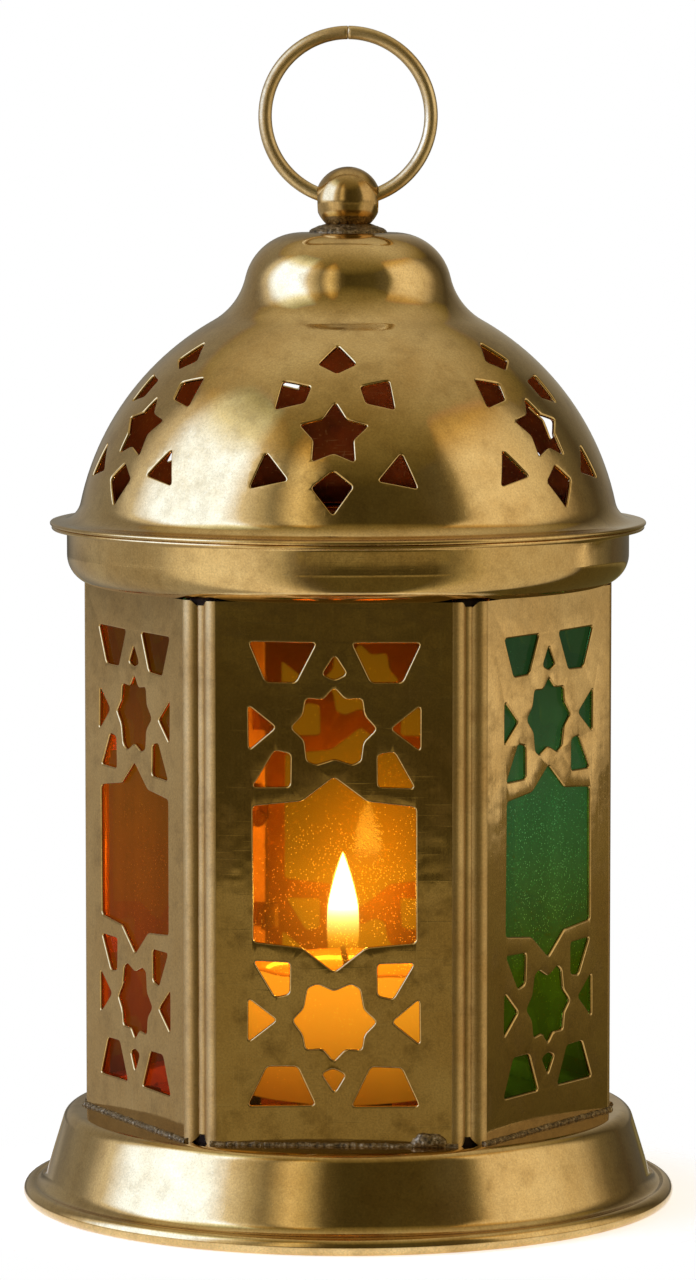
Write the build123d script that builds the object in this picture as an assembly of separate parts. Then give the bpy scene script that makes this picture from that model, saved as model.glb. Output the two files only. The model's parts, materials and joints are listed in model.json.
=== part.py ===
from build123d import *
import math
import os

# Six-sided body of folded sheet panels, its sides named from the front and on to the right
side_names = ("front", "front_right", "rear_right", "rear", "rear_left", "front_left")
side_count = len(side_names)
door_side = side_names.index("rear")
body_apothem = 57.2  # axis to the outer face of a panel
panel_height = 128.0
panel_sheet = 1.0
panel_flange = 4.0  # side edges folded towards the axis
panel_bend_inside = 2.0
mitre_start = 0.9  # folded edges are mitred from this far behind the outer face
corner_seam = 0.1  # gap between the folded edges of two neighbours

# Pierced pattern of a panel, its shares measured from the panel's middle
pattern_side_margin = 10.67  # plain sheet left beside the pattern
pattern_end_margin = 9.5  # plain sheet left above and below it
star_radius_shares = (0.495, 0.1817)  # of the pattern's half width and half height
star_height_share = 0.633
star_top_share = 0.95
star_corner_shares_deg = (
    (69, 0.707), (46, 0.97), (23, 0.783), (0, 0.995), (-23.5, 0.763), (-51, 0.99), (-65, 0.97),
)
star_notch_share = 0.707
window_corner_radius = 1.0
window_shares = ((0.95, 0.292), (0.38, 0.313), (0.0, 0.42))
trapezoid_shares = ((0.22, 1.0), (1.0, 1.0), (0.79, 0.833), (0.44, 0.833))
bud_shares = ((-0.135, 0.862), (0.0, 0.842), (0.135, 0.862), (0.0, 0.943))
side_triangle_shares = ((0.995, 0.727), (0.68, 0.633), (0.995, 0.539))
kite_shares = ((0.69, 0.532), (0.52, 0.519), (0.51, 0.382), (0.945, 0.378))

# Spun foot
base_height = 22.0
base_sheet = 1.0
deck_margin = 3.8  # deck beyond the body's corners
skirt_flare = 5.2  # how much wider the skirt is at its foot
shoulder_radius = 3.2
cove_radius = 4.0
cove_height = 5.0
foot_reach = 3.2  # skirt's foot to the middle of the rolled rim
rim_roll_radius = 2.2
rim_flat_depth = 0.25  # rolled rim is worn flat where it stands

# Spun collar over the panels
collar_sheet = 1.0
collar_height = 14.2
collar_overhang = 3.1  # wall beyond the body's corners
collar_ledge = 3.2  # inner edge inside the panels' folded edges
ovolo_radius = 7.2
collar_root_radius = 0.8
collar_flange_width = 3.7

# Spun dome and its cap
dome_sheet = 1.0
dome_inset = 1.9  # dome's radius under the collar's
dome_sink = 9.3  # dome's centre under the top of its flange
dome_fillet_radius = 4.5
dome_flange_lip = 0.4  # dome's flange beyond the collar's
neck_radius = 16.0
cap_shoulder_radius = 13.8
cap_flat_radius = 11.3
cap_rise = 12.6  # flat crown above the top of the sphere

# Cut-outs of the dome, set out by hand: turn from the middle of a group and lift over the dome's centre
dome_group_turns_deg = (0.0, 56.25, 121.875, 211.875, 303.75)
dome_star_radius = 8.6
dome_star_point_count = 5
dome_star_waist_share = 0.55
dome_star_lift_deg = 30.2
dome_cut_depth = 3.0
dome_kite_deg = ((0.0, 53.4), (5.8, 47.8), (0.0, 45.2), (-5.8, 47.8))
dome_quad_deg = ((14.9, 43.1), (6.6, 41.6), (7.8, 37.5), (15.1, 35.9))
dome_triangle_deg = ((15.3, 25.9), (9.9, 20.0), (18.2, 18.4))
dome_diamond_deg = ((0.0, 22.1), (4.4, 18.7), (0.0, 12.9), (-4.4, 18.7))

# Ball on the cap and the ring through it
ball_radius = 7.9
ball_tail_radius = 2.5
tail_head_radius = 3.8
tail_head_height = 1.0
washer_radius = 7.0
washer_sheet = 1.0
seat_solder_radius = 9.4
seat_solder_height = 2.0
seat_solder_step = 0.8
seat_solder_slope = 2.4
ring_radius = 20.0  # to the middle of the wire
ring_wire_radius = 1.63
ring_joint_gap = 0.1
ring_clearance = 0.15

# Panes and the clips that hold them
pane_lap = 3.5  # pane beyond the pattern
pane_sheet = 2.0
pane_gap = 0.1
clip_sheet = 0.5
clip_gap = 0.2
clip_foot = 3.0
clip_lip = 3.5
clip_width = 6.0
clip_height_share = 0.43  # clips above and below the pane's middle

# Solder runs
base_solder_size = 1.3
collar_solder_size = 1.2
base_solder_margin = 1.5
collar_solder_margin = 4.0
corner_solder_depth = 1.0

# Rear door, its hinges and its turn button
door_side_gap = 0.35
door_end_gap = 0.5
hinge_proud = 2.1  # hinge pins beyond the body's corners
hinge_length = 18.0
hinge_height_share = 0.72  # hinges above and below the panel's middle
hinge_knuckle_radius = 1.7
hinge_pin_radius = 0.8
hinge_pin_gap = 0.06
hinge_knuckle_gap = 0.3
hinge_leaf_sheet = 0.8
hinge_leaf_width = 9.5
hinge_pin_head_radius = 1.5
hinge_pin_head_height = 0.6
rivet_radius = 0.9
rivet_head_radius = 1.6
rivet_head_height = 0.7
rivet_spread = 4.6  # rivets above and below the hinge's middle
latch_inset = 4.65  # turn button's axis inside the door's edge
latch_spindle_radius = 1.3
latch_spindle_gap = 0.06
latch_knob_radius = 4.6
latch_knob_height = 5.2
latch_stem_radius = 2.2
latch_stem_height = 2.0
latch_face_gap = 0.1
latch_hub_radius = 1.95
latch_tongue_sheet = 1.0
latch_tongue_half_width = 2.6
latch_tongue_reach = 7.2
latch_tongue_gap = 0.6
latch_peen_radius = 2.1
latch_peen_height = 0.6

# Candle and the cup it stands in
candle_radius = 24.6
candle_height = 34.6
candle_edge_radius = 1.2
pool_radius = 21.0
pool_depth = 2.2
recess_radius = 9.0
recess_depth = 2.6
wick_radius = 0.9
wick_length = 6.0  # above the pool's floor
sustainer_radius = 8.0
sustainer_sheet = 0.4
cup_gap = 0.8
cup_sheet = 0.8
cup_height = 4.5
cup_rivet_radius = 1.6
cup_rivet_head_radius = 3.2
cup_rivet_head_height = 1.0

cut_overrun = 2.0
fit_gap = 0.05  # between pieces that are fixed to each other

# Sizes that follow from those above
half_side_deg = 180 / side_count
side_step_deg = 360 / side_count
half_side_tan = math.tan(math.radians(half_side_deg))
half_side_cos = math.cos(math.radians(half_side_deg))
half_side_sin = math.sin(math.radians(half_side_deg))
panel_bend = panel_bend_inside + panel_sheet
flange_end = body_apothem - panel_flange
panel_inside = body_apothem - panel_sheet
panel_half_width = flange_end * half_side_tan - corner_seam / 2
pattern_half_width = panel_half_width - pattern_side_margin
pattern_half_height = panel_height / 2 - pattern_end_margin
star_radius = min(star_radius_shares[0] * pattern_half_width, star_radius_shares[1] * pattern_half_height)
door_half_width = panel_half_width - door_side_gap
corner_radius = math.hypot(panel_half_width, body_apothem)
panel_top = base_height + panel_height
panel_middle = base_height + panel_height / 2
shoulder_edge = corner_radius + deck_margin
skirt_foot = shoulder_edge + skirt_flare
rim_middle = skirt_foot + foot_reach
rim_roll_height = rim_roll_radius - rim_flat_depth
collar_wall = corner_radius + collar_overhang
collar_mouth = flange_end - collar_ledge
collar_top = panel_top + collar_height
collar_flange_under = collar_top - collar_sheet
collar_flange_edge = collar_wall + collar_flange_width
dome_radius = collar_wall - dome_inset
dome_flange_top = collar_top + dome_sheet
dome_flange_edge = collar_flange_edge + dome_flange_lip
dome_centre = dome_flange_top - dome_sink
crown_top = dome_centre + dome_radius + cap_rise
ball_centre = crown_top + ball_radius
pane_half_width = pattern_half_width + pane_lap
pane_half_height = pattern_half_height + pane_lap
pane_outside = panel_inside - pane_gap
pane_inside = pane_outside - pane_sheet
hinge_radius = corner_radius + hinge_proud
hinge_across = hinge_radius * half_side_sin
hinge_out = hinge_radius * half_side_cos
hinge_rise = hinge_height_share * panel_height / 2
hinge_leaf_start = hinge_across - hinge_leaf_width
rivet_across = (hinge_leaf_start + door_half_width - panel_bend) / 2
latch_across = door_half_width - latch_inset
tongue_outside = flange_end - panel_sheet * half_side_cos - latch_tongue_gap
tongue_inside = tongue_outside - latch_tongue_sheet
cup_floor = base_height + cup_sheet
cup_inside = candle_radius + cup_gap


def outline(points):
    return make_face(Polyline(*points, close=True))


def spun(section):
    return revolve(Plane.XZ * section, axis=Axis.Z)


def upright(section, bottom, height):
    return extrude(Pos(0, 0, bottom) * section, amount=height, dir=(0, 0, 1))


def rod(radius, bottom, top):
    return upright(Circle(radius), bottom, top - bottom)


def arc(centre, radius, start_deg, end_deg):
    angles = (start_deg, (start_deg + end_deg) / 2, end_deg)
    points = []
    for angle in angles:
        turn = math.radians(angle)
        points.append((centre[0] + radius * math.cos(turn), centre[1] + radius * math.sin(turn)))
    return ThreePointArc(*points)


def heading(start, end):
    return math.degrees(math.atan2(end[1] - start[1], end[0] - start[0]))


def on_side(shape, side):
    return Rot(0, 0, side * side_step_deg) * shape


def lying(shape):
    # Turns a piece built upright, so that its height points out of the front panel
    return Rot(90, 0, 0) * shape


def chain_face(outer, inner, edge):
    # Sheet between two chains of edges that both run from the axis or mouth to the rounded edge
    closing = Line(inner[0] @ 0, outer[0] @ 0)
    return make_face(Curve() + [*outer, *inner, edge, closing])


def star_points(radius, waist_share, count, first_deg):
    points = []
    for index in range(2 * count):
        reach = radius if index % 2 == 0 else radius * waist_share
        turn = math.radians(first_deg + index * 180 / count)
        points.append((reach * math.cos(turn), reach * math.sin(turn)))
    return points


# Foot

def base_pan():
    spine = (
        (0, base_height),
        (shoulder_edge, base_height),
        (skirt_foot, cove_height),
        (rim_middle, rim_roll_height),
    )
    skin = FilletPolyline(*spine, radius=(shoulder_radius, cove_radius))
    sheet = make_face(skin.wire().offset_2d(base_sheet, side=Side.RIGHT))
    roll = Pos(rim_middle, rim_roll_height) * Circle(rim_roll_radius)
    ground = Pos(0, -rim_roll_radius) * Rectangle(4 * rim_middle, 2 * rim_roll_radius)
    pan = spun(sheet + roll - ground)
    return pan - rod(cup_rivet_radius + fit_gap, base_height - 2 * base_sheet, base_height + cut_overrun)


def quarter_round(size, middle, level, length, inward, downward):
    # Solder run along a panel: a corner of two flat faces and a round outer face
    out = -1 if inward else 1
    drop = -1 if downward else 1
    corner = (-middle, level)
    across = (-middle - out * size, level)
    along = (-middle, level + drop * size)
    bulge = size * math.sqrt(0.5)
    round_face = ThreePointArc(across, (-middle - out * bulge, level + drop * bulge), along)
    section = make_face(Curve() + [Line(corner, across), round_face, Line(along, corner)])
    return Pos(-length / 2, 0, 0) * extrude(Plane.YZ * section, amount=length, dir=(1, 0, 0))


def panel_runs(run):
    solids = []
    for side in range(side_count):
        if side != door_side:
            solids.append(on_side(run, side))
    return Compound(children=solids)


def base_solder():
    length = 2 * (panel_half_width - base_solder_margin)
    return panel_runs(quarter_round(base_solder_size, body_apothem, base_height, length, False, False))


def collar_solder():
    length = 2 * (panel_half_width - panel_bend - collar_solder_margin)
    return panel_runs(quarter_round(collar_solder_size, panel_inside, panel_top, length, True, True))


# Body panels

def panel_star():
    # Seven points, the lowest two blunt, and a notch below where the arch of the window rises
    right = []
    for turn_deg, share in star_corner_shares_deg:
        turn = math.radians(turn_deg)
        right.append((share * star_radius * math.cos(turn), share * star_radius * math.sin(turn)))
    left = [(-across, up) for across, up in reversed(right)]
    return [(0, star_top_share * star_radius), *right, (0, -star_notch_share * star_radius), *left]


def pattern_outlines():
    half_width = pattern_half_width
    half_height = pattern_half_height
    shapes = []
    star = panel_star()
    for flip in (1, -1):
        middle = star_height_share * half_height
        shapes.append(outline([(across, flip * (middle + up)) for across, up in star]))
        shapes.append(outline([(across * half_width, flip * up * half_height) for across, up in bud_shares]))
        for mirror in (1, -1):
            for shares in (trapezoid_shares, side_triangle_shares, kite_shares):
                points = [(mirror * across * half_width, flip * up * half_height) for across, up in shares]
                shapes.append(outline(points))
    right_top = [(across * half_width, up * half_height) for across, up in window_shares]
    left_top = [(-across, up) for across, up in reversed(right_top[:-1])]
    top = right_top + left_top
    bottom = [(-across, -up) for across, up in top]
    corner = window_corner_radius
    radii = (corner, 0, 0, 0, corner, corner, 0, 0, 0, corner)
    shapes.append(make_face(FilletPolyline(*top, *bottom, radius=radii, close=True)))
    return shapes


def pattern_cutter():
    plane = Plane.XZ.offset(panel_inside - cut_overrun)
    depth = panel_sheet + 2 * cut_overrun
    cuts = [extrude(plane * (Pos(0, panel_middle) * shape), amount=depth) for shape in pattern_outlines()]
    return cuts


def mitre(half_width, level, into):
    # Corner cut off the end of both folded edges
    root = -(body_apothem - mitre_start)
    depth = panel_flange - mitre_start
    beyond = -flange_end + cut_overrun
    points = (
        (root, level),
        (-flange_end, level + into * depth),
        (beyond, level + into * depth),
        (beyond, level - into * cut_overrun),
        (root, level - into * cut_overrun),
    )
    width = 2 * (half_width + cut_overrun)
    return Pos(-width / 2, 0, 0) * extrude(Plane.YZ * outline(points), amount=width, dir=(1, 0, 0))


def folded_panel(half_width, bottom, top):
    inner = half_width - panel_sheet
    corners = (
        (-half_width, -flange_end),
        (-half_width, -body_apothem),
        (half_width, -body_apothem),
        (half_width, -flange_end),
        (inner, -flange_end),
        (inner, -panel_inside),
        (-inner, -panel_inside),
        (-inner, -flange_end),
    )
    radii = (0, panel_bend, panel_bend, 0, 0, panel_bend_inside, panel_bend_inside, 0)
    section = make_face(FilletPolyline(*corners, radius=radii, close=True))
    panel = upright(section, bottom, top - bottom)
    return panel - [mitre(half_width, bottom, 1), mitre(half_width, top, -1), *pattern_cutter()]


def corner_solder():
    # One strip inside each corner of two soldered panels, built on the corner's own line
    cusp = flange_end / half_side_cos - fit_gap
    shoulder = cusp - panel_sheet * half_side_sin
    width = panel_sheet * half_side_cos
    back = shoulder - corner_solder_depth
    points = ((cusp, 0), (shoulder, width), (back, width), (back, -width), (shoulder, -width))
    strip = upright(outline(points), base_height + panel_flange, panel_height - 2 * panel_flange)
    strips = []
    for side in range(side_count):
        if side not in (door_side, (door_side - 1) % side_count):
            turn = (side + 0.5) * side_step_deg - 90
            strips.append(Rot(0, 0, turn) * strip)
    return Compound(children=strips)


# Panes and clips

def pane():
    return Pos(0, -(pane_outside + pane_inside) / 2, panel_middle) * Box(
        2 * pane_half_width, pane_sheet, 2 * pane_half_height
    )


def clip():
    start = pane_half_width + clip_gap
    back = start + clip_sheet
    foot = back + clip_foot
    lip = pane_inside - clip_gap
    end = back - clip_lip
    points = (
        (foot, -panel_inside),
        (start, -panel_inside),
        (start, -lip),
        (end, -lip),
        (end, clip_sheet - lip),
        (back, clip_sheet - lip),
        (back, clip_sheet - panel_inside),
        (foot, clip_sheet - panel_inside),
    )
    return upright(outline(points), -clip_width / 2, clip_width)


def panel_clips():
    solids = []
    for up in (1, -1):
        right = Pos(0, 0, panel_middle + up * clip_height_share * pane_half_height) * clip()
        solids.append(right)
        solids.append(mirror(right, about=Plane.YZ))
    return solids


# Collar and dome

def collar_chain(inset):
    ovolo = (collar_wall - ovolo_radius, panel_top + ovolo_radius)
    root = (collar_wall + collar_root_radius, collar_flange_under - collar_root_radius)
    edge = collar_flange_edge - collar_sheet / 2
    lower = panel_top + inset
    upper = collar_flange_under + inset
    wall = collar_wall - inset
    return [
        Line((collar_mouth, lower), (ovolo[0], lower)),
        arc(ovolo, ovolo_radius - inset, -90, 0),
        Line((wall, ovolo[1]), (wall, root[1])),
        arc(root, collar_root_radius + inset, 180, 90),
        Line((root[0], upper), (edge, upper)),
    ]


def collar():
    middle = (collar_flange_edge - collar_sheet / 2, collar_flange_under + collar_sheet / 2)
    edge = arc(middle, collar_sheet / 2, -90, 90)
    return spun(chain_face(collar_chain(0), collar_chain(collar_sheet), edge))


def dome_chain(inset):
    # Flat crown, cap shoulder, hollow neck, sphere, hollow fillet and flange, each tangent to the next
    cap = (cap_flat_radius, crown_top - cap_shoulder_radius)
    sphere = (0, dome_centre)
    span = math.hypot(cap[0], cap[1] - dome_centre)
    far = dome_radius + neck_radius
    near = cap_shoulder_radius + neck_radius
    along = (span**2 + far**2 - near**2) / (2 * span)
    aside_deg = math.degrees(math.acos(along / far))
    neck_turn = math.radians(heading(sphere, cap) - aside_deg)
    neck = (far * math.cos(neck_turn), dome_centre + far * math.sin(neck_turn))
    fillet_up = dome_flange_top + dome_fillet_radius
    fillet_far = dome_radius + dome_fillet_radius
    fillet = (math.sqrt(fillet_far**2 - (fillet_up - dome_centre) ** 2), fillet_up)
    cap_end = heading(cap, neck)
    sphere_start = heading(sphere, neck)
    sphere_end = heading(sphere, fillet)
    level = dome_flange_top - inset
    return [
        Line((0, crown_top - inset), (cap_flat_radius, crown_top - inset)),
        arc(cap, cap_shoulder_radius - inset, 90, cap_end),
        arc(neck, neck_radius + inset, cap_end + 180, sphere_start + 180),
        arc(sphere, dome_radius - inset, sphere_start, sphere_end),
        arc(fillet, dome_fillet_radius + inset, sphere_end + 180, 270),
        Line((fillet[0], level), (dome_flange_edge - dome_sheet / 2, level)),
    ]


def dome_direction(turn_deg, lift_deg):
    turn = math.radians(turn_deg)
    lift = math.radians(lift_deg)
    return Vector(math.cos(lift) * math.sin(turn), -math.cos(lift) * math.cos(turn), math.sin(lift))


def dome_plane(turn_deg, lift_deg):
    out = dome_direction(turn_deg, lift_deg)
    across = dome_direction(turn_deg + 90, 0)
    return Plane(origin=Vector(0, 0, dome_centre) + out * dome_radius, x_dir=across, z_dir=out)


def dome_cut(plane, points):
    return extrude(plane * outline(points), amount=dome_cut_depth, both=True)


def dome_hole(corners_deg):
    # Corners given on the sphere are carried out to the plane that touches it at the hole's middle
    count = len(corners_deg)
    middle_turn = sum(turn for turn, lift in corners_deg) / count
    middle_lift = sum(lift for turn, lift in corners_deg) / count
    plane = dome_plane(middle_turn, middle_lift)
    points = []
    for turn, lift in corners_deg:
        ray = dome_direction(turn, lift)
        point = ray * (dome_radius / ray.dot(plane.z_dir)) - plane.z_dir * dome_radius
        points.append((point.dot(plane.x_dir), point.dot(plane.y_dir)))
    return dome_cut(plane, points)


def dome_group():
    star = star_points(dome_star_radius, dome_star_waist_share, dome_star_point_count, 90)
    cuts = [dome_cut(dome_plane(0, dome_star_lift_deg), star)]
    cuts.append(dome_hole(dome_kite_deg))
    cuts.append(dome_hole(dome_diamond_deg))
    for corners in (dome_quad_deg, dome_triangle_deg):
        cuts.append(dome_hole(corners))
        cuts.append(dome_hole([(-turn, lift) for turn, lift in corners]))
    return cuts


def dome():
    middle = (dome_flange_edge - dome_sheet / 2, dome_flange_top - dome_sheet / 2)
    edge = arc(middle, dome_sheet / 2, 90, -90)
    shell = spun(chain_face(dome_chain(0), dome_chain(dome_sheet), edge))
    cuts = [rod(ball_tail_radius + fit_gap, crown_top - 2 * dome_sheet, crown_top + dome_sheet)]
    for turn_deg in dome_group_turns_deg:
        cuts += [Rot(0, 0, turn_deg) * cut for cut in dome_group()]
    return shell - cuts


# Ball and ring

def ring_flare():
    # Space that the bent wire sweeps as the ring turns about the ball's middle
    reach = ball_radius + cut_overrun
    sweep = ring_radius - ring_wire_radius - ring_clearance
    side = ring_radius - math.sqrt(sweep**2 - reach**2)
    edges = [
        ThreePointArc((-reach, side), (0, ring_radius - sweep), (reach, side)),
        Line((reach, side), (reach, 0)),
        Line((reach, 0), (-reach, 0)),
        Line((-reach, 0), (-reach, side)),
    ]
    return Pos(0, 0, ball_centre) * revolve(Plane.XZ * make_face(Curve() + edges), axis=Axis.X)


def finial_ball():
    washer_under = crown_top - dome_sheet - washer_sheet
    ball = Pos(0, 0, ball_centre) * Sphere(ball_radius)
    tail = rod(ball_tail_radius, washer_under, ball_centre)
    head = rod(tail_head_radius, washer_under - tail_head_height, washer_under)
    return ball + tail + head - ring_flare()


def finial_washer():
    top = crown_top - dome_sheet
    bottom = top - washer_sheet
    hole = rod(ball_tail_radius + fit_gap, bottom - washer_sheet, top + washer_sheet)
    return rod(washer_radius, bottom, top) - hole


def finial_solder():
    points = (
        (0, crown_top),
        (seat_solder_radius, crown_top),
        (seat_solder_radius, crown_top + seat_solder_step),
        (seat_solder_radius - seat_solder_slope, crown_top + seat_solder_height),
        (0, crown_top + seat_solder_height),
    )
    ring = spun(outline(points))
    ball = Pos(0, 0, ball_centre) * Sphere(ball_radius + fit_gap)
    return ring - ball - rod(ball_tail_radius + fit_gap, crown_top - dome_sheet, ball_centre)


def carrying_ring():
    middle = ball_centre + ring_radius
    ring = Pos(0, 0, middle) * lying(Torus(ring_radius, ring_wire_radius))
    joint = Pos(0, 0, middle + ring_radius) * Box(ring_joint_gap, 4 * ring_wire_radius, 4 * ring_wire_radius)
    return ring - joint


# Door hinges, built at the right edge of the front panel and then turned to their corner

def hinge_leaf(knuckles, bore):
    start = hinge_leaf_start
    end = hinge_across - hinge_knuckle_radius - hinge_knuckle_gap
    middle_out = body_apothem + hinge_leaf_sheet / 2
    plate = Pos((start + end) / 2, -middle_out, 0) * Box(end - start, hinge_leaf_sheet, hinge_length)
    third = hinge_length / 3
    leaf = plate
    for place in knuckles:
        level = place * third
        half = (third - hinge_knuckle_gap) / 2
        barrel = Pos(hinge_across, -hinge_out) * rod(hinge_knuckle_radius, level - half, level + half)
        tab = Pos((start + hinge_across) / 2, -middle_out, level) * Box(
            hinge_across - start, hinge_leaf_sheet, 2 * half
        )
        leaf = leaf + tab + barrel
    holes = [Pos(hinge_across, -hinge_out) * rod(bore, -hinge_length, hinge_length)]
    for up in (1, -1):
        hole = rod(rivet_radius + fit_gap, body_apothem - panel_sheet, body_apothem + 2 * hinge_leaf_sheet)
        holes.append(Pos(rivet_across, 0, up * rivet_spread) * lying(hole))
    return leaf - holes


def hinge_pin():
    half = hinge_length / 2
    pin = rod(hinge_pin_radius, -half, half + hinge_pin_head_height)
    head = rod(hinge_pin_head_radius, half, half + hinge_pin_head_height)
    return Pos(hinge_across, -hinge_out) * (pin + head)


def hinge_rivets():
    outside = body_apothem + hinge_leaf_sheet
    rivets = []
    for up in (1, -1):
        shank = rod(rivet_radius, panel_inside - rivet_head_height, outside + rivet_head_height)
        head = rod(rivet_head_radius, outside, outside + rivet_head_height)
        tail = rod(rivet_head_radius, panel_inside - rivet_head_height, panel_inside)
        rivets.append(Pos(rivet_across, 0, up * rivet_spread) * lying(shank + head + tail))
    return rivets


def rivet_holes():
    holes = []
    for up in (1, -1):
        for rivet in (1, -1):
            hole = rod(rivet_radius + fit_gap, panel_inside - cut_overrun, body_apothem + cut_overrun)
            level = panel_middle + up * hinge_rise + rivet * rivet_spread
            holes.append(Pos(rivet_across, 0, level) * lying(hole))
    return holes


def hinge_pair(pieces):
    solids = []
    for up in (1, -1):
        for piece in pieces:
            solids.append(Pos(0, 0, panel_middle + up * hinge_rise) * piece)
    return solids


def on_frame(solids):
    return Compound(children=[on_side(solid, door_side - 1) for solid in solids])


def on_door(solids):
    return Compound(children=[on_side(mirror(solid, about=Plane.YZ), door_side) for solid in solids])


# Turn button, built at the right edge of the front panel

def latch_place(shape):
    return on_side(Pos(latch_across, 0, panel_middle) * lying(shape), door_side)


def latch_knob():
    seat = body_apothem + latch_face_gap
    top = seat + latch_stem_height + latch_knob_height
    middle = seat + latch_stem_height + latch_knob_height / 2
    bulge = latch_knob_radius
    neck = latch_stem_radius
    rim = ThreePointArc((neck, seat + latch_stem_height), (bulge, middle), (neck, top))
    edges = [
        Line((0, seat), (neck, seat)),
        Line((neck, seat), (neck, seat + latch_stem_height)),
        rim,
        Line((neck, top), (0, top)),
        Line((0, top), (0, seat)),
    ]
    knob = spun(make_face(Curve() + edges))
    spindle = rod(latch_spindle_radius, tongue_inside, seat)
    peen = rod(latch_peen_radius, tongue_inside - latch_peen_height, tongue_inside)
    return latch_place(knob + spindle + peen)


def latch_tongue():
    finger = Pos(0, latch_tongue_reach / 2) * Rectangle(2 * latch_tongue_half_width, latch_tongue_reach)
    blade = finger + Circle(latch_hub_radius)
    plate = upright(blade, tongue_inside, latch_tongue_sheet)
    hub = rod(latch_hub_radius, tongue_outside, panel_inside - latch_face_gap)
    hole = rod(latch_spindle_radius + fit_gap, tongue_inside - cut_overrun, body_apothem)
    return latch_place(plate + hub - hole)


def door_panel():
    bore = latch_spindle_radius + latch_spindle_gap
    hole = rod(bore, panel_inside - cut_overrun, body_apothem + cut_overrun)
    sheet = folded_panel(door_half_width, base_height + door_end_gap, panel_top - door_end_gap)
    sheet = sheet - (Pos(latch_across, 0, panel_middle) * lying(hole))
    sheet = sheet - [mirror(cut, about=Plane.YZ) for cut in rivet_holes()]
    return on_side(sheet, door_side)


# Candle and cup

def candle_cup():
    outer = rod(cup_inside + cup_sheet, base_height, base_height + cup_height)
    inner = rod(cup_inside, cup_floor, base_height + cup_height + cut_overrun)
    return outer - inner - rod(cup_rivet_radius + fit_gap, base_height - cut_overrun, cup_floor + cut_overrun)


def cup_rivet():
    under = base_height - base_sheet
    shank = rod(cup_rivet_radius, under - cup_rivet_head_height, cup_floor + cup_rivet_head_height)
    head = rod(cup_rivet_head_radius, cup_floor, cup_floor + cup_rivet_head_height)
    tail = rod(cup_rivet_head_radius, under - cup_rivet_head_height, under)
    return shank + head + tail


def candle():
    top = cup_floor + candle_height
    edge = candle_edge_radius
    ceiling = cup_floor + recess_depth
    floor = top - pool_depth
    centre = (candle_radius - edge, top - edge)
    pool = ThreePointArc((pool_radius, top), (pool_radius * math.sqrt(0.5), (top + floor) / 2), (0, floor))
    edges = [
        Line((recess_radius, cup_floor), (candle_radius, cup_floor)),
        Line((candle_radius, cup_floor), (candle_radius, centre[1])),
        arc(centre, edge, 0, 90),
        Line((centre[0], top), (pool_radius, top)),
        pool,
        Line((0, floor), (0, ceiling)),
        Line((0, ceiling), (recess_radius, ceiling)),
        Line((recess_radius, ceiling), (recess_radius, cup_floor)),
    ]
    wax = spun(make_face(Curve() + edges))
    return wax - rod(wick_radius + fit_gap, cup_floor, top + cut_overrun)


def wick():
    return rod(wick_radius, cup_floor + recess_depth, cup_floor + candle_height - pool_depth + wick_length)


def wick_sustainer():
    top = cup_floor + recess_depth
    return rod(sustainer_radius, top - sustainer_sheet, top)


nodes = {
    "base_pan": base_pan(),
    "base_solder": base_solder(),
    "candle_cup": candle_cup(),
    "cup_rivet": cup_rivet(),
    "candle": candle(),
    "wick": wick(),
    "wick_sustainer": wick_sustainer(),
    "door_panel": door_panel(),
    "door_glass": on_side(pane(), door_side),
    "corner_solder": corner_solder(),
    "collar": collar(),
    "collar_solder": collar_solder(),
    "dome": dome(),
    "finial_ball": finial_ball(),
    "finial_washer": finial_washer(),
    "finial_solder": finial_solder(),
    "carrying_ring": carrying_ring(),
    "frame_hinge_leaves": on_frame(hinge_pair([hinge_leaf((1, -1), hinge_pin_radius + fit_gap)])),
    "door_hinge_leaves": on_door(hinge_pair([hinge_leaf((0,), hinge_pin_radius + hinge_pin_gap)])),
    "hinge_pins": on_frame(hinge_pair([hinge_pin()])),
    "frame_hinge_rivets": on_frame(hinge_pair(hinge_rivets())),
    "door_hinge_rivets": on_door(hinge_pair(hinge_rivets())),
    "latch_knob": latch_knob(),
    "latch_tongue": latch_tongue(),
}

fixed_panel = folded_panel(panel_half_width, base_height, panel_top)
frame_clips = []
for side, name in enumerate(side_names):
    if side == door_side:
        continue
    sheet = fixed_panel
    if side == door_side - 1:
        sheet = sheet - rivet_holes()
    nodes["panel_" + name] = on_side(sheet, side)
    nodes["glass_" + name] = on_side(pane(), side)
    frame_clips += [on_side(tab, side) for tab in panel_clips()]
nodes["glass_clips"] = Compound(children=frame_clips)
nodes["door_glass_clips"] = Compound(children=[on_side(tab, door_side) for tab in panel_clips()])

os.makedirs("parts", exist_ok=True)
for name, shape in nodes.items():
    export_step(shape, "parts/" + name + ".step")
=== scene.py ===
import json
import math
import random
from functools import partial

import bmesh
import bpy
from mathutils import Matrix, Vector, noise
from mathutils.geometry import delaunay_2d_cdt


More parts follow.
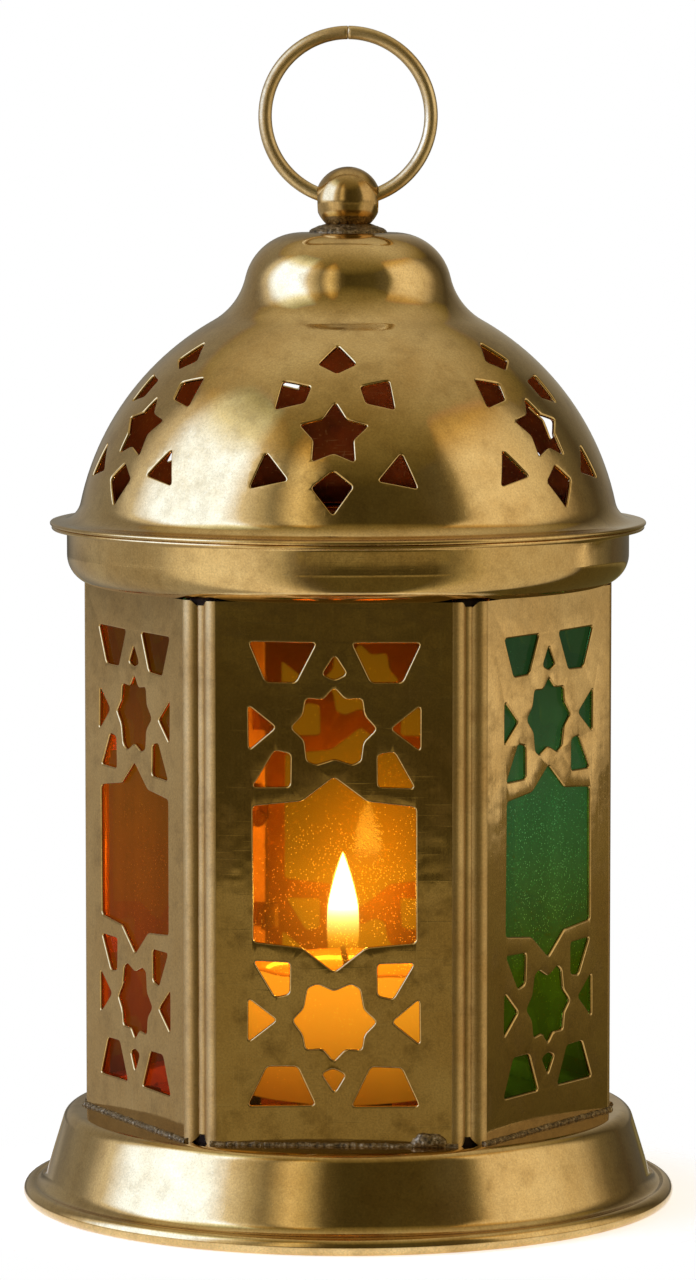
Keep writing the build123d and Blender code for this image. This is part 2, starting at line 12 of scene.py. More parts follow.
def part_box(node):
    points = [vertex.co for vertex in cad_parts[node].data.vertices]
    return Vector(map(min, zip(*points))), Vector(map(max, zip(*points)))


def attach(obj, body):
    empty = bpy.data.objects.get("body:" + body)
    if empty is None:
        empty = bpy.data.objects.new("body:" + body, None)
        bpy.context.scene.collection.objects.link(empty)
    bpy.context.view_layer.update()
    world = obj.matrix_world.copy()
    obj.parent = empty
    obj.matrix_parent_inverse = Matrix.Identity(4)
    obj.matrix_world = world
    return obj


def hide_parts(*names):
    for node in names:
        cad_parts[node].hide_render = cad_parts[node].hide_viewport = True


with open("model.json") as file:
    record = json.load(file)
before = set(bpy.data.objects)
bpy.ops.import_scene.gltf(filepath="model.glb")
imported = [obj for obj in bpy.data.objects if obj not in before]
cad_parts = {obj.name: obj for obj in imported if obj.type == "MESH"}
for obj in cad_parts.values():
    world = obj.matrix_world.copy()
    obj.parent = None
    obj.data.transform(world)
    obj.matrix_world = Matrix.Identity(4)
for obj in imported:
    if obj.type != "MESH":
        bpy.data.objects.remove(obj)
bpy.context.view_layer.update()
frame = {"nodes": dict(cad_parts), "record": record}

mm = 0.001
sideNames = ["front", "front_right", "rear_right", "rear", "rear_left", "front_left"]
sideStep = math.radians(360 / len(sideNames))
ringSteps = 192
joinGap = 0.004


def hexColour(text):
    shares = [int(text[at:at + 2], 16) / 255 for at in (1, 3, 5)]
    return [s / 12.92 if s <= 0.04045 else ((s + 0.055) / 1.055) ** 2.4 for s in shares] + [1.0]


def setInputs(node, inputs):
    # Inputs go by name or in the sockets' order; a node stands for its first output, a text for a colour
    for key, value in inputs.items() if isinstance(inputs, dict) else enumerate(inputs):
        if isinstance(value, str):
            value = hexColour(value)
        if isinstance(value, bpy.types.Node):
            value = value.outputs[0]
        if isinstance(value, bpy.types.NodeSocket):
            node.id_data.links.new(value, node.inputs[key])
        else:
            node.inputs[key].default_value = value


def addNode(tree, kind, inputs=(), stops=(), **settings):
    # A kind with no family in its name is a shader node; a stop is a place with a colour or a grey level
    node = tree.nodes.new(kind if "Node" in kind else "ShaderNode" + kind)
    for key, value in settings.items():
        setattr(node, key, value)
    setInputs(node, inputs)
    for index, (place, colour) in enumerate(stops):
        ramp = node.color_ramp.elements
        if index >= len(ramp):
            ramp.new(place)
        if isinstance(colour, str):
            colour = hexColour(colour)
        elif isinstance(colour, float):
            colour = [colour, colour, colour, 1.0]
        ramp[index].position, ramp[index].color = place, colour
    return node


def startMaterial(name):
    material = bpy.data.materials.new(name)
    material.use_nodes = True
    material.node_tree.nodes.clear()
    add = partial(addNode, material.node_tree)
    surface = add("BsdfPrincipled")
    add("OutputMaterial", {"Surface": surface})
    return material, add, surface, add("TexCoord").outputs["Object"]


def makeObject(name, mesh, *materials):
    made = bpy.data.objects.new(name, mesh)
    bpy.context.scene.collection.objects.link(made)
    for material in materials:
        mesh.materials.append(material)
    return made


def makePiece(name, points, faces, smoothDeg, *materials):
    # Points in millimetres; doubled points are joined and every face turned outwards
    mesh = bpy.data.meshes.new(name)
    mesh.from_pydata([(x * mm, y * mm, z * mm) for x, y, z in points], [], faces)
    work = bmesh.new()
    work.from_mesh(mesh)
    bmesh.ops.remove_doubles(work, verts=work.verts, dist=joinGap * mm)
    bmesh.ops.recalc_face_normals(work, faces=work.faces)
    work.to_mesh(mesh)
    work.free()
    mesh.shade_smooth()
    mesh.set_sharp_from_angle(angle=math.radians(smoothDeg))
    return makeObject(name, mesh, *materials)


def evenNormals(piece):
    modifier = piece.modifiers.new("evenNormals", "WEIGHTED_NORMAL")
    modifier.keep_sharp = True
    modifier.weight = 100


def arcPoints(centre, radius, startDeg, endDeg, stepDeg=6.0):
    count = max(2, round(abs(endDeg - startDeg) / stepDeg))
    points = []
    for index in range(count + 1):
        turn = math.radians(startDeg + (endDeg - startDeg) * index / count)
        points.append((centre[0] + radius * math.cos(turn), centre[1] + radius * math.sin(turn)))
    return points


def headingDeg(start, end):
    return math.degrees(math.atan2(end[1] - start[1], end[0] - start[0]))


def runPoints(start, end, count):
    # Points from a start up to, but not on, an end
    return [(start[0] + (end[0] - start[0]) * index / count, start[1] + (end[1] - start[1]) * index / count)
            for index in range(count)]


def sidePoint(turn, across, out, up):
    # A place on a side of the lantern: across it, out from the axis and up
    return (across * math.cos(turn) + out * math.sin(turn),
            across * math.sin(turn) - out * math.cos(turn), up)


def joinRows(faces, first, rows, count):
    # Quads between rows of points, each row closed on itself
    for row in range(rows - 1):
        here = first + row * count
        for index in range(count):
            after = (index + 1) % count
            faces.append((here + index, here + after, here + count + after, here + count + index))


def lathe(profile, points, faces, steps=ringSteps, place=None):
    # Turns a chain of (radius, height) about the axis and adds it to the lists
    first = len(points)
    for radius, height in profile:
        for index in range(steps):
            turn = 2 * math.pi * index / steps
            point = (radius * math.sin(turn), -radius * math.cos(turn), height)
            points.append(place(point) if place else point)
    joinRows(faces, first, len(profile), steps)


def ballProfile(radius, stepDeg):
    turns = [math.radians(turnDeg) for turnDeg in range(0, 181, stepDeg)]
    return [(radius * math.sin(turn), radius * math.cos(turn)) for turn in turns]


def turnedPiece(name, profile, smoothDeg, *materials, steps=ringSteps, place=None):
    points, faces = [], []
    lathe(profile, points, faces, steps, place)
    return makePiece(name, points, faces, smoothDeg, *materials)


def finishPiece(piece, body, slot, *nodes):
    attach(piece, body)
    if nodes:
        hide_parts(*nodes)


# Camera: the photograph's view, a little from the right and from above
cameraSizes = {"distance": 1.396, "height": 0.263, "turnDeg": 3.3, "pitchDeg": 5.2, "focalPixels": 5780,
               "framePixels": 1280}


def makeCamera():
    lens = bpy.data.cameras.new("camera")
    lens.sensor_width = 36.0
    lens.lens = cameraSizes["focalPixels"] / cameraSizes["framePixels"] * lens.sensor_width
    camera = bpy.data.objects.new("camera", lens)
    turn = math.radians(cameraSizes["turnDeg"])
    reach = cameraSizes["distance"]
    camera.location = (reach * math.sin(turn), -reach * math.cos(turn), cameraSizes["height"])
    camera.rotation_euler = (math.radians(90 - cameraSizes["pitchDeg"]), 0, turn)
    bpy.context.scene.collection.objects.link(camera)
    bpy.context.scene.camera = camera


makeCamera()
print("stage: camera")


# Brass, spun or rolled and then hand polished: a satin metal with fine grain and stray scratches, lathe or
# rolling marks that drag the reflections, brown tarnish in clouds and dark freckles where damp has stood
brassSizes = {"cloud": 26 * mm, "stain": 7 * mm, "freckle": 0.9 * mm, "grain": 0.45 * mm, "mark": 0.5 * mm,
              "scratch": 0.6 * mm, "dent": 11 * mm, "sootRise": 38 * mm}
brassSpans = {"cloud": (0.36, 0.68), "stain": (0.50, 0.78), "freckle": (0.57, 0.70), "grain": (0.3, 0.7),
              "scratch": (0.66, 0.76)}
brassShares = {"stain": 0.55, "freckle": 0.5, "scratch": 0.12, "stainRough": 0.12, "markRough": 0.08,
               "sootLight": 0.4}
brassColours = {"stain": "#7A5A26", "freckle": "#3A2A10", "scratch": "#E8D4A4"}


def makeBrass(name, base, worn, rough, spun, freckles=1.0, dent=1.0, metal=1.0, sootFrom=None):
    material, add, surface, place = startMaterial(name)
    if spun:
        parts = add("SeparateXYZ", {"Vector": place})
        flat = add("CombineXYZ", {"X": parts, "Y": parts.outputs[1]})
        radius = add("VectorMath", {0: flat}, operation="LENGTH")
        markPlace = add("CombineXYZ", {"X": radius.outputs["Value"], "Y": parts.outputs[2]})
    else:
        markPlace = add("Mapping", {"Vector": place, "Scale": (1.0, 1.0, 0.05)})
    slant = add("Mapping", {"Vector": place, "Rotation": (0.5, 0.7, 0.4), "Scale": (1.0, 1.0, 0.03)})
    cross = add("Mapping", {"Vector": place, "Rotation": (-0.6, -0.9, 0.8), "Scale": (0.04, 1.0, 1.0)})
    waves = {}
    for layer, where, detail in (("cloud", place, 6.0), ("stain", place, 5.0), ("freckle", place, 3.0),
                                 ("grain", place, 3.0), ("mark", markPlace, 4.0), ("dent", place, 2.0)):
        waves[layer] = add("TexNoise", {"Vector": where, "Scale": 1 / brassSizes[layer], "Detail": detail,
                                        "Roughness": 0.65})
    lines = [add("TexNoise", {"Vector": where, "Scale": 1 / brassSizes["scratch"], "Detail": 1.0})
             for where in (slant, cross)]
    line = add("Math", (lines[0], lines[1]), operation="MAXIMUM")
    scratch = add("MapRange", (line, *brassSpans["scratch"]))
    patch = add("MapRange", (waves["cloud"], *brassSpans["cloud"]))
    stain = add("MapRange", (waves["stain"], *brassSpans["stain"]))
    spot = add("MapRange", (waves["freckle"], *brassSpans["freckle"]))
    tint = add("MapRange", (waves["grain"], *brassSpans["grain"], 0.82, 1.16))
    toned = add("Mix", {"Factor": patch, 6: base, 7: worn}, data_type="RGBA").outputs[2]
    stainLevel = add("Math", (stain, brassShares["stain"] * freckles), operation="MULTIPLY", use_clamp=True)
    stained = add("Mix", {"Factor": stainLevel, 6: toned, 7: brassColours["stain"]},
                  data_type="RGBA").outputs[2]
    spotShare = add("Math", (spot, patch), operation="MULTIPLY")
    spotLevel = add("Math", (spotShare, brassShares["freckle"] * freckles), operation="MULTIPLY",
                    use_clamp=True)
    spotted = add("Mix", {"Factor": spotLevel, 6: stained, 7: brassColours["freckle"]},
                  data_type="RGBA").outputs[2]
    if sootFrom:
        height = add("SeparateXYZ", {"Vector": place}).outputs[2]
        clean = add("MapRange", (height, sootFrom, sootFrom + brassSizes["sootRise"], 1.0,
                                 brassShares["sootLight"]))
        tint = add("Math", (tint, clean), operation="MULTIPLY")
    grained = add("VectorMath", {0: spotted, 3: tint}, operation="SCALE")
    scratchLevel = add("Math", (scratch, brassShares["scratch"]), operation="MULTIPLY")
    coloured = add("Mix", {"Factor": scratchLevel, 6: grained, 7: brassColours["scratch"]},
                   data_type="RGBA").outputs[2]
    dulled = add("Math", (stain, brassShares["stainRough"], rough[0]), operation="MULTIPLY_ADD")
    cloudy = add("Math", (patch, rough[1] - rough[0], dulled), operation="MULTIPLY_ADD")
    streaky = add("Math", (waves["mark"], brassShares["markRough"], cloudy), operation="MULTIPLY_ADD")
    roughness = add("Math", (streaky, brassShares["markRough"] / 2), operation="SUBTRACT")
    fine = add("Bump", {"Height": waves["mark"], "Strength": 0.035, "Distance": 0.05 * mm})
    scored = add("Bump", {"Height": scratch, "Strength": 0.06, "Distance": 0.03 * mm, "Normal": fine})
    uneven = add("Bump", {"Height": waves["dent"], "Strength": 0.16 * dent, "Distance": 0.25 * mm,
                          "Normal": scored})
    setInputs(surface, {"Metallic": metal, "Base Color": coloured, "Roughness": roughness, "Normal": uneven})
    return material


# Soft solder, melted in by hand: dull grey lumps, darker in the hollows, with a painted highlight in pale
# colour on the tops
def makeSolder():
    material, add, surface, place = startMaterial("softSolderMeltedByHand")
    lump = add("TexNoise", {"Vector": place, "Scale": 1 / (0.8 * mm), "Detail": 4.0, "Roughness": 0.7})
    tone = add("ValToRGB", {"Fac": lump}, stops=[(0.36, "#33270F"), (0.55, "#8A7044"), (0.72, "#CDBB94")])
    shape = add("Bump", {"Height": lump, "Strength": 0.7, "Distance": 0.25 * mm})
    setInputs(surface, {"Metallic": 0.6, "Roughness": 0.4, "Base Color": tone, "Normal": shape})
    return material


# Hand-rolled coloured glass: clear colour with a slow wave, and a haze painted as a glow (emission),
# brightest near the flame, mottled, streaked and dimmer towards the foot, shifting in hue from a pane's top
# to its foot; fine seeds round the flame carry painted glints
glassSizes = {"wave": 18 * mm, "seed": 0.4 * mm, "swarm": 5 * mm, "dirt": 5 * mm, "streak": 13 * mm,
              "nearest": 54 * mm, "sparkleReach": 12 * mm, "hazeReach": 80 * mm, "footLow": 26 * mm,
              "footHigh": 48 * mm, "hueLow": 60 * mm, "hueHigh": 98 * mm}
flamePlace, swarmPlace = Vector((-1.2, 0.0, 74.0)) * mm, Vector((3.0, 0.0, 80.0)) * mm


def makeGlass(name, colour, glow, glowLow, haze, halo, seedLevel, ior, blur):
    material, add, surface, place = startMaterial(name)
    wave = add("TexNoise", {"Vector": place, "Scale": 1 / glassSizes["wave"], "Detail": 1.0})
    swarm = add("TexNoise", {"Vector": place, "Scale": 1 / glassSizes["swarm"], "Detail": 3.0})
    dirt = add("TexNoise", {"Vector": place, "Scale": 1 / glassSizes["dirt"], "Detail": 6.0,
                            "Roughness": 0.75})
    # Painted glow: the emission falls off with distance from the flame and is mottled, streaked and dimmed
    # towards the foot
    reach = add("VectorMath", (place, flamePlace), operation="DISTANCE").outputs["Value"]
    swarmReach = add("VectorMath", (place, swarmPlace), operation="DISTANCE").outputs["Value"]
    near = add("MapRange", (swarmReach, glassSizes["nearest"],
                            glassSizes["nearest"] + glassSizes["sparkleReach"], 1.0, 0.0))
    far = add("MapRange", (reach, glassSizes["nearest"], glassSizes["hazeReach"], 1.0, 0.35))
    bare = add("MapRange", (swarm, 0.35, 0.65, 0.10, -0.10))
    limit = add("Math", (near, -0.24, 0.96), operation="MULTIPLY_ADD")
    cutoff = add("Math", (limit, bare), operation="ADD")
    # Painted glints: seed cells near the flame shine as emission sparkles
    seed = add("TexVoronoi", {"Vector": place, "Scale": 1 / glassSizes["seed"]})
    dot = add("MapRange", (seed.outputs["Distance"], 0.12, 0.38, 1.0, 0.0))
    shown = add("Math", (seed.outputs["Color"], cutoff), operation="GREATER_THAN")
    spark = add("Math", (dot, shown), operation="MULTIPLY")
    sparkLevel = add("Math", (near, seedLevel, 0.25 * seedLevel), operation="MULTIPLY_ADD")
    dusty = add("MapRange", (dirt, 0.35, 0.72, 1.15 * haze, 0.85 * haze))
    drawn = add("Mapping", {"Vector": place, "Scale": (1.0, 1.0, 0.03)})
    streak = add("TexNoise", {"Vector": drawn, "Scale": 1 / glassSizes["streak"], "Detail": 3.0})
    banded = add("MapRange", (streak, 0.32, 0.68, 0.75, 1.2))
    drawnHaze = add("Math", (dusty, banded), operation="MULTIPLY")
    height = add("SeparateXYZ", {"Vector": place}).outputs[2]
    foot = add("MapRange", (height, glassSizes["footLow"], glassSizes["footHigh"], 0.3, 1.0))
    lowHaze = add("Math", (foot, drawnHaze), operation="MULTIPLY")
    hazy = add("Math", (far, lowHaze), operation="MULTIPLY")
    wide = add("Math", (near, 3.0), operation="POWER")
    core = add("Math", (near, 9.0), operation="POWER")
    close = add("Math", (core, 1.8, wide), operation="MULTIPLY_ADD")
    aura = add("Math", (close, halo, hazy), operation="MULTIPLY_ADD")
    strength = add("Math", (spark, sparkLevel, aura), operation="MULTIPLY_ADD")
    sink = add("MapRange", (height, glassSizes["hueHigh"], glassSizes["hueLow"]))
    hue = add("Mix", {"Factor": sink, 6: glow, 7: glowLow}, data_type="RGBA").outputs[2]
    soft = add("Bump", {"Height": wave, "Strength": 0.03, "Distance": 0.3 * mm})
    setInputs(surface, {"Base Color": colour, "Transmission Weight": 1.0, "Roughness": blur, "IOR": ior,
                        "Emission Color": hue, "Emission Strength": strength, "Normal": soft})
    return material


# Poured paraffin wax with a painted glow: emission rising towards the top stands in for the flame's light
# coming back warm, brightest under the pool
def makeWax():
    material, add, surface, place = startMaterial("paraffinWaxPoured")
    height = add("SeparateXYZ", {"Vector": place})
    low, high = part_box("candle")
    rise = add("MapRange", (height.outputs[2], low.z, high.z, 0.16, 1.0), interpolation_type="SMOOTHSTEP")
    mottle = add("TexNoise", {"Vector": place, "Scale": 1 / (8 * mm), "Detail": 4.0})
    level = add("Math", (rise, 0.95), operation="MULTIPLY")
    shape = add("Bump", {"Height": mottle, "Strength": 0.25, "Distance": 0.5 * mm})
    tone = add("Mix", {"Factor": mottle, 6: "#E2BE8C", 7: "#CDA06A"}, data_type="RGBA")
    setInputs(surface, {"Base Color": tone.outputs[2], "Emission Strength": level, "Normal": shape,
                        "Emission Color": "#FFC268", "Roughness": 0.38, "Subsurface Weight": 0.6,
                        "Subsurface Radius": (1.0, 0.6, 0.3), "Subsurface Scale": 4 * mm})
    return material


# Melted wax round the wick: wet, with a painted glow (emission) standing in for the flame's light from above,
# deeper than the candle's rim
def makeMeltedWax():
    material, add, surface, place = startMaterial("paraffinWaxMelted")
    ripple = add("TexNoise", {"Vector": place, "Scale": 1 / (6 * mm), "Detail": 2.0})
    tone = add("Mix", {"Factor": ripple, 6: "#8A5A28", 7: "#5C3614"}, data_type="RGBA")
    shape = add("Bump", {"Height": ripple, "Strength": 0.1, "Distance": 0.3 * mm})
    setInputs(surface, {"Base Color": tone.outputs[2], "Normal": shape, "Roughness": 0.4,
                        "Emission Color": "#FF9638", "Emission Strength": 0.58})
    return material


# Braided cotton wick: charred, black to dark brown along its braid
def makeWick():
    material, add, surface, place = startMaterial("cottonWickCharred")
    braid = add("TexWave", {"Vector": place, "Scale": 1 / (1.2 * mm), "Distortion": 2.0},
                bands_direction="DIAGONAL")
    tone = add("ValToRGB", {"Fac": braid.outputs["Fac"]}, stops=[(0.2, "#120B06"), (0.9, "#3A2412")])
    shape = add("Bump", {"Height": braid.outputs["Fac"], "Strength": 0.6, "Distance": 0.2 * mm})
    setInputs(surface, {"Base Color": tone, "Normal": shape, "Roughness": 0.9})
    return material


# Pressed tinplate: thin grey sheet with a pale spangle
def makeTin():
    material, add, surface, place = startMaterial("tinplatePressed")
    spangle = add("TexVoronoi", {"Vector": place, "Scale": 1 / (2.5 * mm)})
    tone = add("Mix", {"Factor": spangle.outputs["Distance"], 6: "#A9A9A6", 7: "#C6C5C0"}, data_type="RGBA")
    setInputs(surface, {"Base Color": tone.outputs[2], "Metallic": 1.0, "Roughness": 0.4})
    return material


# Candle flame: white hot above, faintly blue below that, half clear and amber round the wick
flameSizes = {"bottom": 58 * mm, "top": 85 * mm, "power": 34.0}


def makeFlame():
    material, add, surface, place = startMaterial("candleFlame")
    height = add("SeparateXYZ", {"Vector": place})
    rise = add("MapRange", (height.outputs[2], flameSizes["bottom"], flameSizes["top"]))
    tone = add("ValToRGB", {"Fac": rise}, stops=[(0.0, "#FFB040"), (0.13, "#FFBF59"), (0.18, "#FFCB76"),
        (0.236, "#FFDFAA"), (0.29, "#FFF5FF"), (0.344, "#DADAFF"), (0.40, "#CFCEFF"), (0.45, "#E2DFFF"),
        (0.52, "#FFF6E8"), (1.0, "#FFEED2")])
    solid = add("ValToRGB", {"Fac": rise}, stops=[(0.0, 0.04), (0.10, 0.2), (0.18, 0.5), (0.26, 0.85),
        (0.32, 1.0)])
    power = add("ValToRGB", {"Fac": rise}, stops=[(0.0, 0.02), (0.13, 0.027), (0.236, 0.031), (0.29, 0.033),
        (0.344, 0.06), (0.396, 0.12), (0.45, 0.26), (0.54, 1.0)])
    level = add("Math", (power, flameSizes["power"]), operation="MULTIPLY")
    setInputs(surface, {"Base Color": "#000000", "Specular IOR Level": 0.0, "Emission Color": tone,
                        "Emission Strength": level, "Alpha": solid})
    return material


spunBrass = makeBrass("brassSpunSatin", "#DCBE82", "#C6A264", rough=(0.055, 0.095), spun=True, freckles=0.7,
                      dent=0.8)
sheetBrass = makeBrass("brassRolledSheetTarnished", "#D2B277", "#C6A264", rough=(0.05, 0.085), spun=False,
                       freckles=0.8, dent=1.2)
foldBrass = makeBrass("brassFoldedEdgeSatin", "#CDAE74", "#BD985C", rough=(0.36, 0.44), spun=False,
                      freckles=0.8, dent=0.8)
turnedBrass = makeBrass("brassTurnedPolished", "#D4B478", "#A98650", rough=(0.10, 0.20), spun=False,
                        freckles=1.0, dent=0.8)
wireBrass = makeBrass("brassDrawnWire", "#E6CE9C", "#CBAA70", rough=(0.28, 0.40), spun=False, freckles=0.8,
                      dent=0.8)
sootBrass = makeBrass("brassSootedInside", "#7C451F", "#46230F", rough=(0.50, 0.62), spun=True, freckles=0.6,
                      dent=0.6, metal=0.6)
dullBrass = makeBrass("brassDulledInside", "#D8A04E", "#A87034", rough=(0.52, 0.66), spun=False, freckles=0.7,
                      dent=0.6, metal=0.3, sootFrom=100 * mm)
# Painted shade: a near-black rough finish for the rods that fill the corner notches
notchSoot = makeBrass("brassSootedNotch", "#2E1D0E", "#1A0F07", rough=(0.8, 0.9), spun=False, freckles=0.4,
                      dent=0.5, metal=0.6)
softSolder = makeSolder()
amberGlass = makeGlass("glassHandRolledAmber", "#F3CB54", "#FF9A1C", "#FFA024", haze=0.022, halo=0.12,
                       seedLevel=1.5, ior=1.2, blur=0.07)
orangeGlass = makeGlass("glassHandRolledDeepOrange", "#C46414", "#FF8E1E", "#F06A20", haze=0.10, halo=0.0,
                        seedLevel=0.55, ior=1.07, blur=0.05)
greenGlass = makeGlass("glassHandRolledGreen", "#348A60", "#78D07C", "#86A010", haze=0.085, halo=0.0,
                       seedLevel=0.6, ior=1.1, blur=0.05)
paraffinWax = makeWax()
meltedWax = makeMeltedWax()
charredWick = makeWick()
tinplate = makeTin()
flameLight = makeFlame()
paneMaterials = {"amber_glass": amberGlass, "orange_glass": orangeGlass, "green_glass": greenGlass}
print("stage: materials")


# Pierced panels: folded sheet with hand-sawn cut-outs whose edges are filed round
panelSizes = {
    "sheet": 1.0, "bend": 3.0, "bendSteps": 12, "doorGap": 0.35, "sideMargin": 10.67, "endMargin": 9.5,
    "edgeRound": 0.42, "cornerRound": 0.9, "handShake": 0.2, "starShare": 0.495, "starHeight": 0.633,
    "starCorners": ((90, 0.95), (69, 0.707), (46, 0.97), (23, 0.783), (0, 0.995), (-23.5, 0.763), (-51, 0.99),
                    (-65, 0.97), (-90, 0.707)),
    "window": ((0.95, 0.292), (0.38, 0.313), (0.0, 0.42)),
    "trapezoid": ((0.22, 1.0), (0.44, 0.833), (0.79, 0.833), (1.0, 1.0)),
    "bud": ((-0.135, 0.862), (0.0, 0.842), (0.135, 0.862), (0.0, 0.943)),
    "triangle": ((0.995, 0.727), (0.68, 0.633), (0.995, 0.539)),
    "kite": ((0.69, 0.532), (0.52, 0.519), (0.51, 0.382), (0.945, 0.378)),
}


def loopArea(loop):
    return sum(a[0] * b[1] - b[0] * a[1] for a, b in zip(loop, loop[1:] + loop[:1])) / 2


def anticlockwise(loop):
    return list(loop) if loopArea(loop) > 0 else list(reversed(loop))


def growLoop(loop, distance):
    # Moves every side of an anticlockwise loop outwards by the distance
    grown = []
    count = len(loop)
    for index, here in enumerate(loop):
        before, after = loop[index - 1], loop[(index + 1) % count]
        sides = []
        for start, end in ((before, here), (here, after)):
            run = math.hypot(end[0] - start[0], end[1] - start[1])
            sides.append(((end[1] - start[1]) / run, (start[0] - end[0]) / run))
        share = max(1 + sides[0][0] * sides[1][0] + sides[0][1] * sides[1][1], 0.25)
        grown.append((here[0] + (sides[0][0] + sides[1][0]) * distance / share,
                      here[1] + (sides[0][1] + sides[1][1]) * distance / share))
    return grown


def roundLoop(loop, radius):
    # Every corner becomes a short curve, as a saw and a file leave it
    rounded = []
    count = len(loop)
    for index, here in enumerate(loop):
        corner = Vector(here)
        before, after = Vector(loop[index - 1]), Vector(loop[(index + 1) % count])
        reach = min(radius, 0.3 * (before - corner).length, 0.3 * (after - corner).length)
        start = corner + (before - corner).normalized() * reach
        end = corner + (after - corner).normalized() * reach
        for share in (0.0, 0.33, 0.67, 1.0):
            inner = start.lerp(corner, share)
            outer = corner.lerp(end, share)
            rounded.append(tuple(inner.lerp(outer, share)))
    return rounded


def shakeLoop(loop, amount, chance):
    return [(x + chance.uniform(-amount, amount), y + chance.uniform(-amount, amount)) for x, y in loop]


def starLoop(radius, waist, count, firstDeg):
    loop = []
    for index in range(2 * count):
        reach = radius if index % 2 == 0 else radius * waist
        turn = math.radians(firstDeg + index * 180 / count)
        loop.append((reach * math.cos(turn), reach * math.sin(turn)))
    return loop


def panelStar(radius):
    # Seven points, the lowest two blunt, and a notch towards the window
    right = [(share * radius * math.cos(math.radians(turn)), share * radius * math.sin(math.radians(turn)))
             for turn, share in panelSizes["starCorners"]]
    return right + [(-x, y) for x, y in reversed(right[1:-1])]


def patternLoops(halfWidth, halfHeight, chance):
    sizes = panelSizes
    loops = []
    for flip in (1, -1):
        star = panelStar(sizes["starShare"] * halfWidth)
        loops.append([(x, flip * (y + sizes["starHeight"] * halfHeight)) for x, y in star])
        loops.append([(x * halfWidth, flip * y * halfHeight) for x, y in sizes["bud"]])
        for mirror in (1, -1):
            for name in ("trapezoid", "triangle", "kite"):
                loops.append([(mirror * x * halfWidth, flip * y * halfHeight) for x, y in sizes[name]])
    top = [(x * halfWidth, y * halfHeight) for x, y in sizes["window"]]
    top += [(-x, y) for x, y in reversed(top[:-1])]
    loops.append(top + [(-x, -y) for x, y in top])
    shaken = [shakeLoop(anticlockwise(loop), sizes["handShake"], chance) for loop in loops]
    return [roundLoop(loop, sizes["cornerRound"]) for loop in shaken]


def outsideAll(spot, loops):
    for loop in loops:
        inside = False
        for (ax, ay), (bx, by) in zip(loop, loop[1:] + loop[:1]):
            if (ay > spot[1]) != (by > spot[1]) and spot[0] < (bx - ax) * (spot[1] - ay) / (by - ay) + ax:
                inside = not inside
        if inside:
            return False
    return True


def fillSheet(loops, inside=()):
    # Triangles between the first loop and the holes that follow it
    points, edges = [], []
    for loop in loops:
        first = len(points)
        points += [Vector(point) for point in loop]
        edges += [(first + index, first + (index + 1) % len(loop)) for index in range(len(loop))]
    points += [Vector(point) for point in inside]
    found = delaunay_2d_cdt(points, edges, [], 1, 1e-5)
    spots = [tuple(point) for point in found[0]]
    kept = []
    for triangle in found[2]:
        middle = (sum(spots[index][0] for index in triangle) / 3,
                  sum(spots[index][1] for index in triangle) / 3)
        if outsideAll(middle, loops[1:]):
            kept.append(triangle)
    return spots, kept


def roundedRings(depth, edgeRound, steps=3):
    # Offset and depth of each ring from the outer face, over the filed edge and down the cut
    rings = []
    for index in range(steps + 1):
        turn = math.pi / 2 * index / steps
        rings.append((edgeRound * (1 - math.sin(turn)), edgeRound * (1 - math.cos(turn))))
    rings.append((0.0, depth - edgeRound / 2))
    rings.append((edgeRound / 2, depth))
    return rings


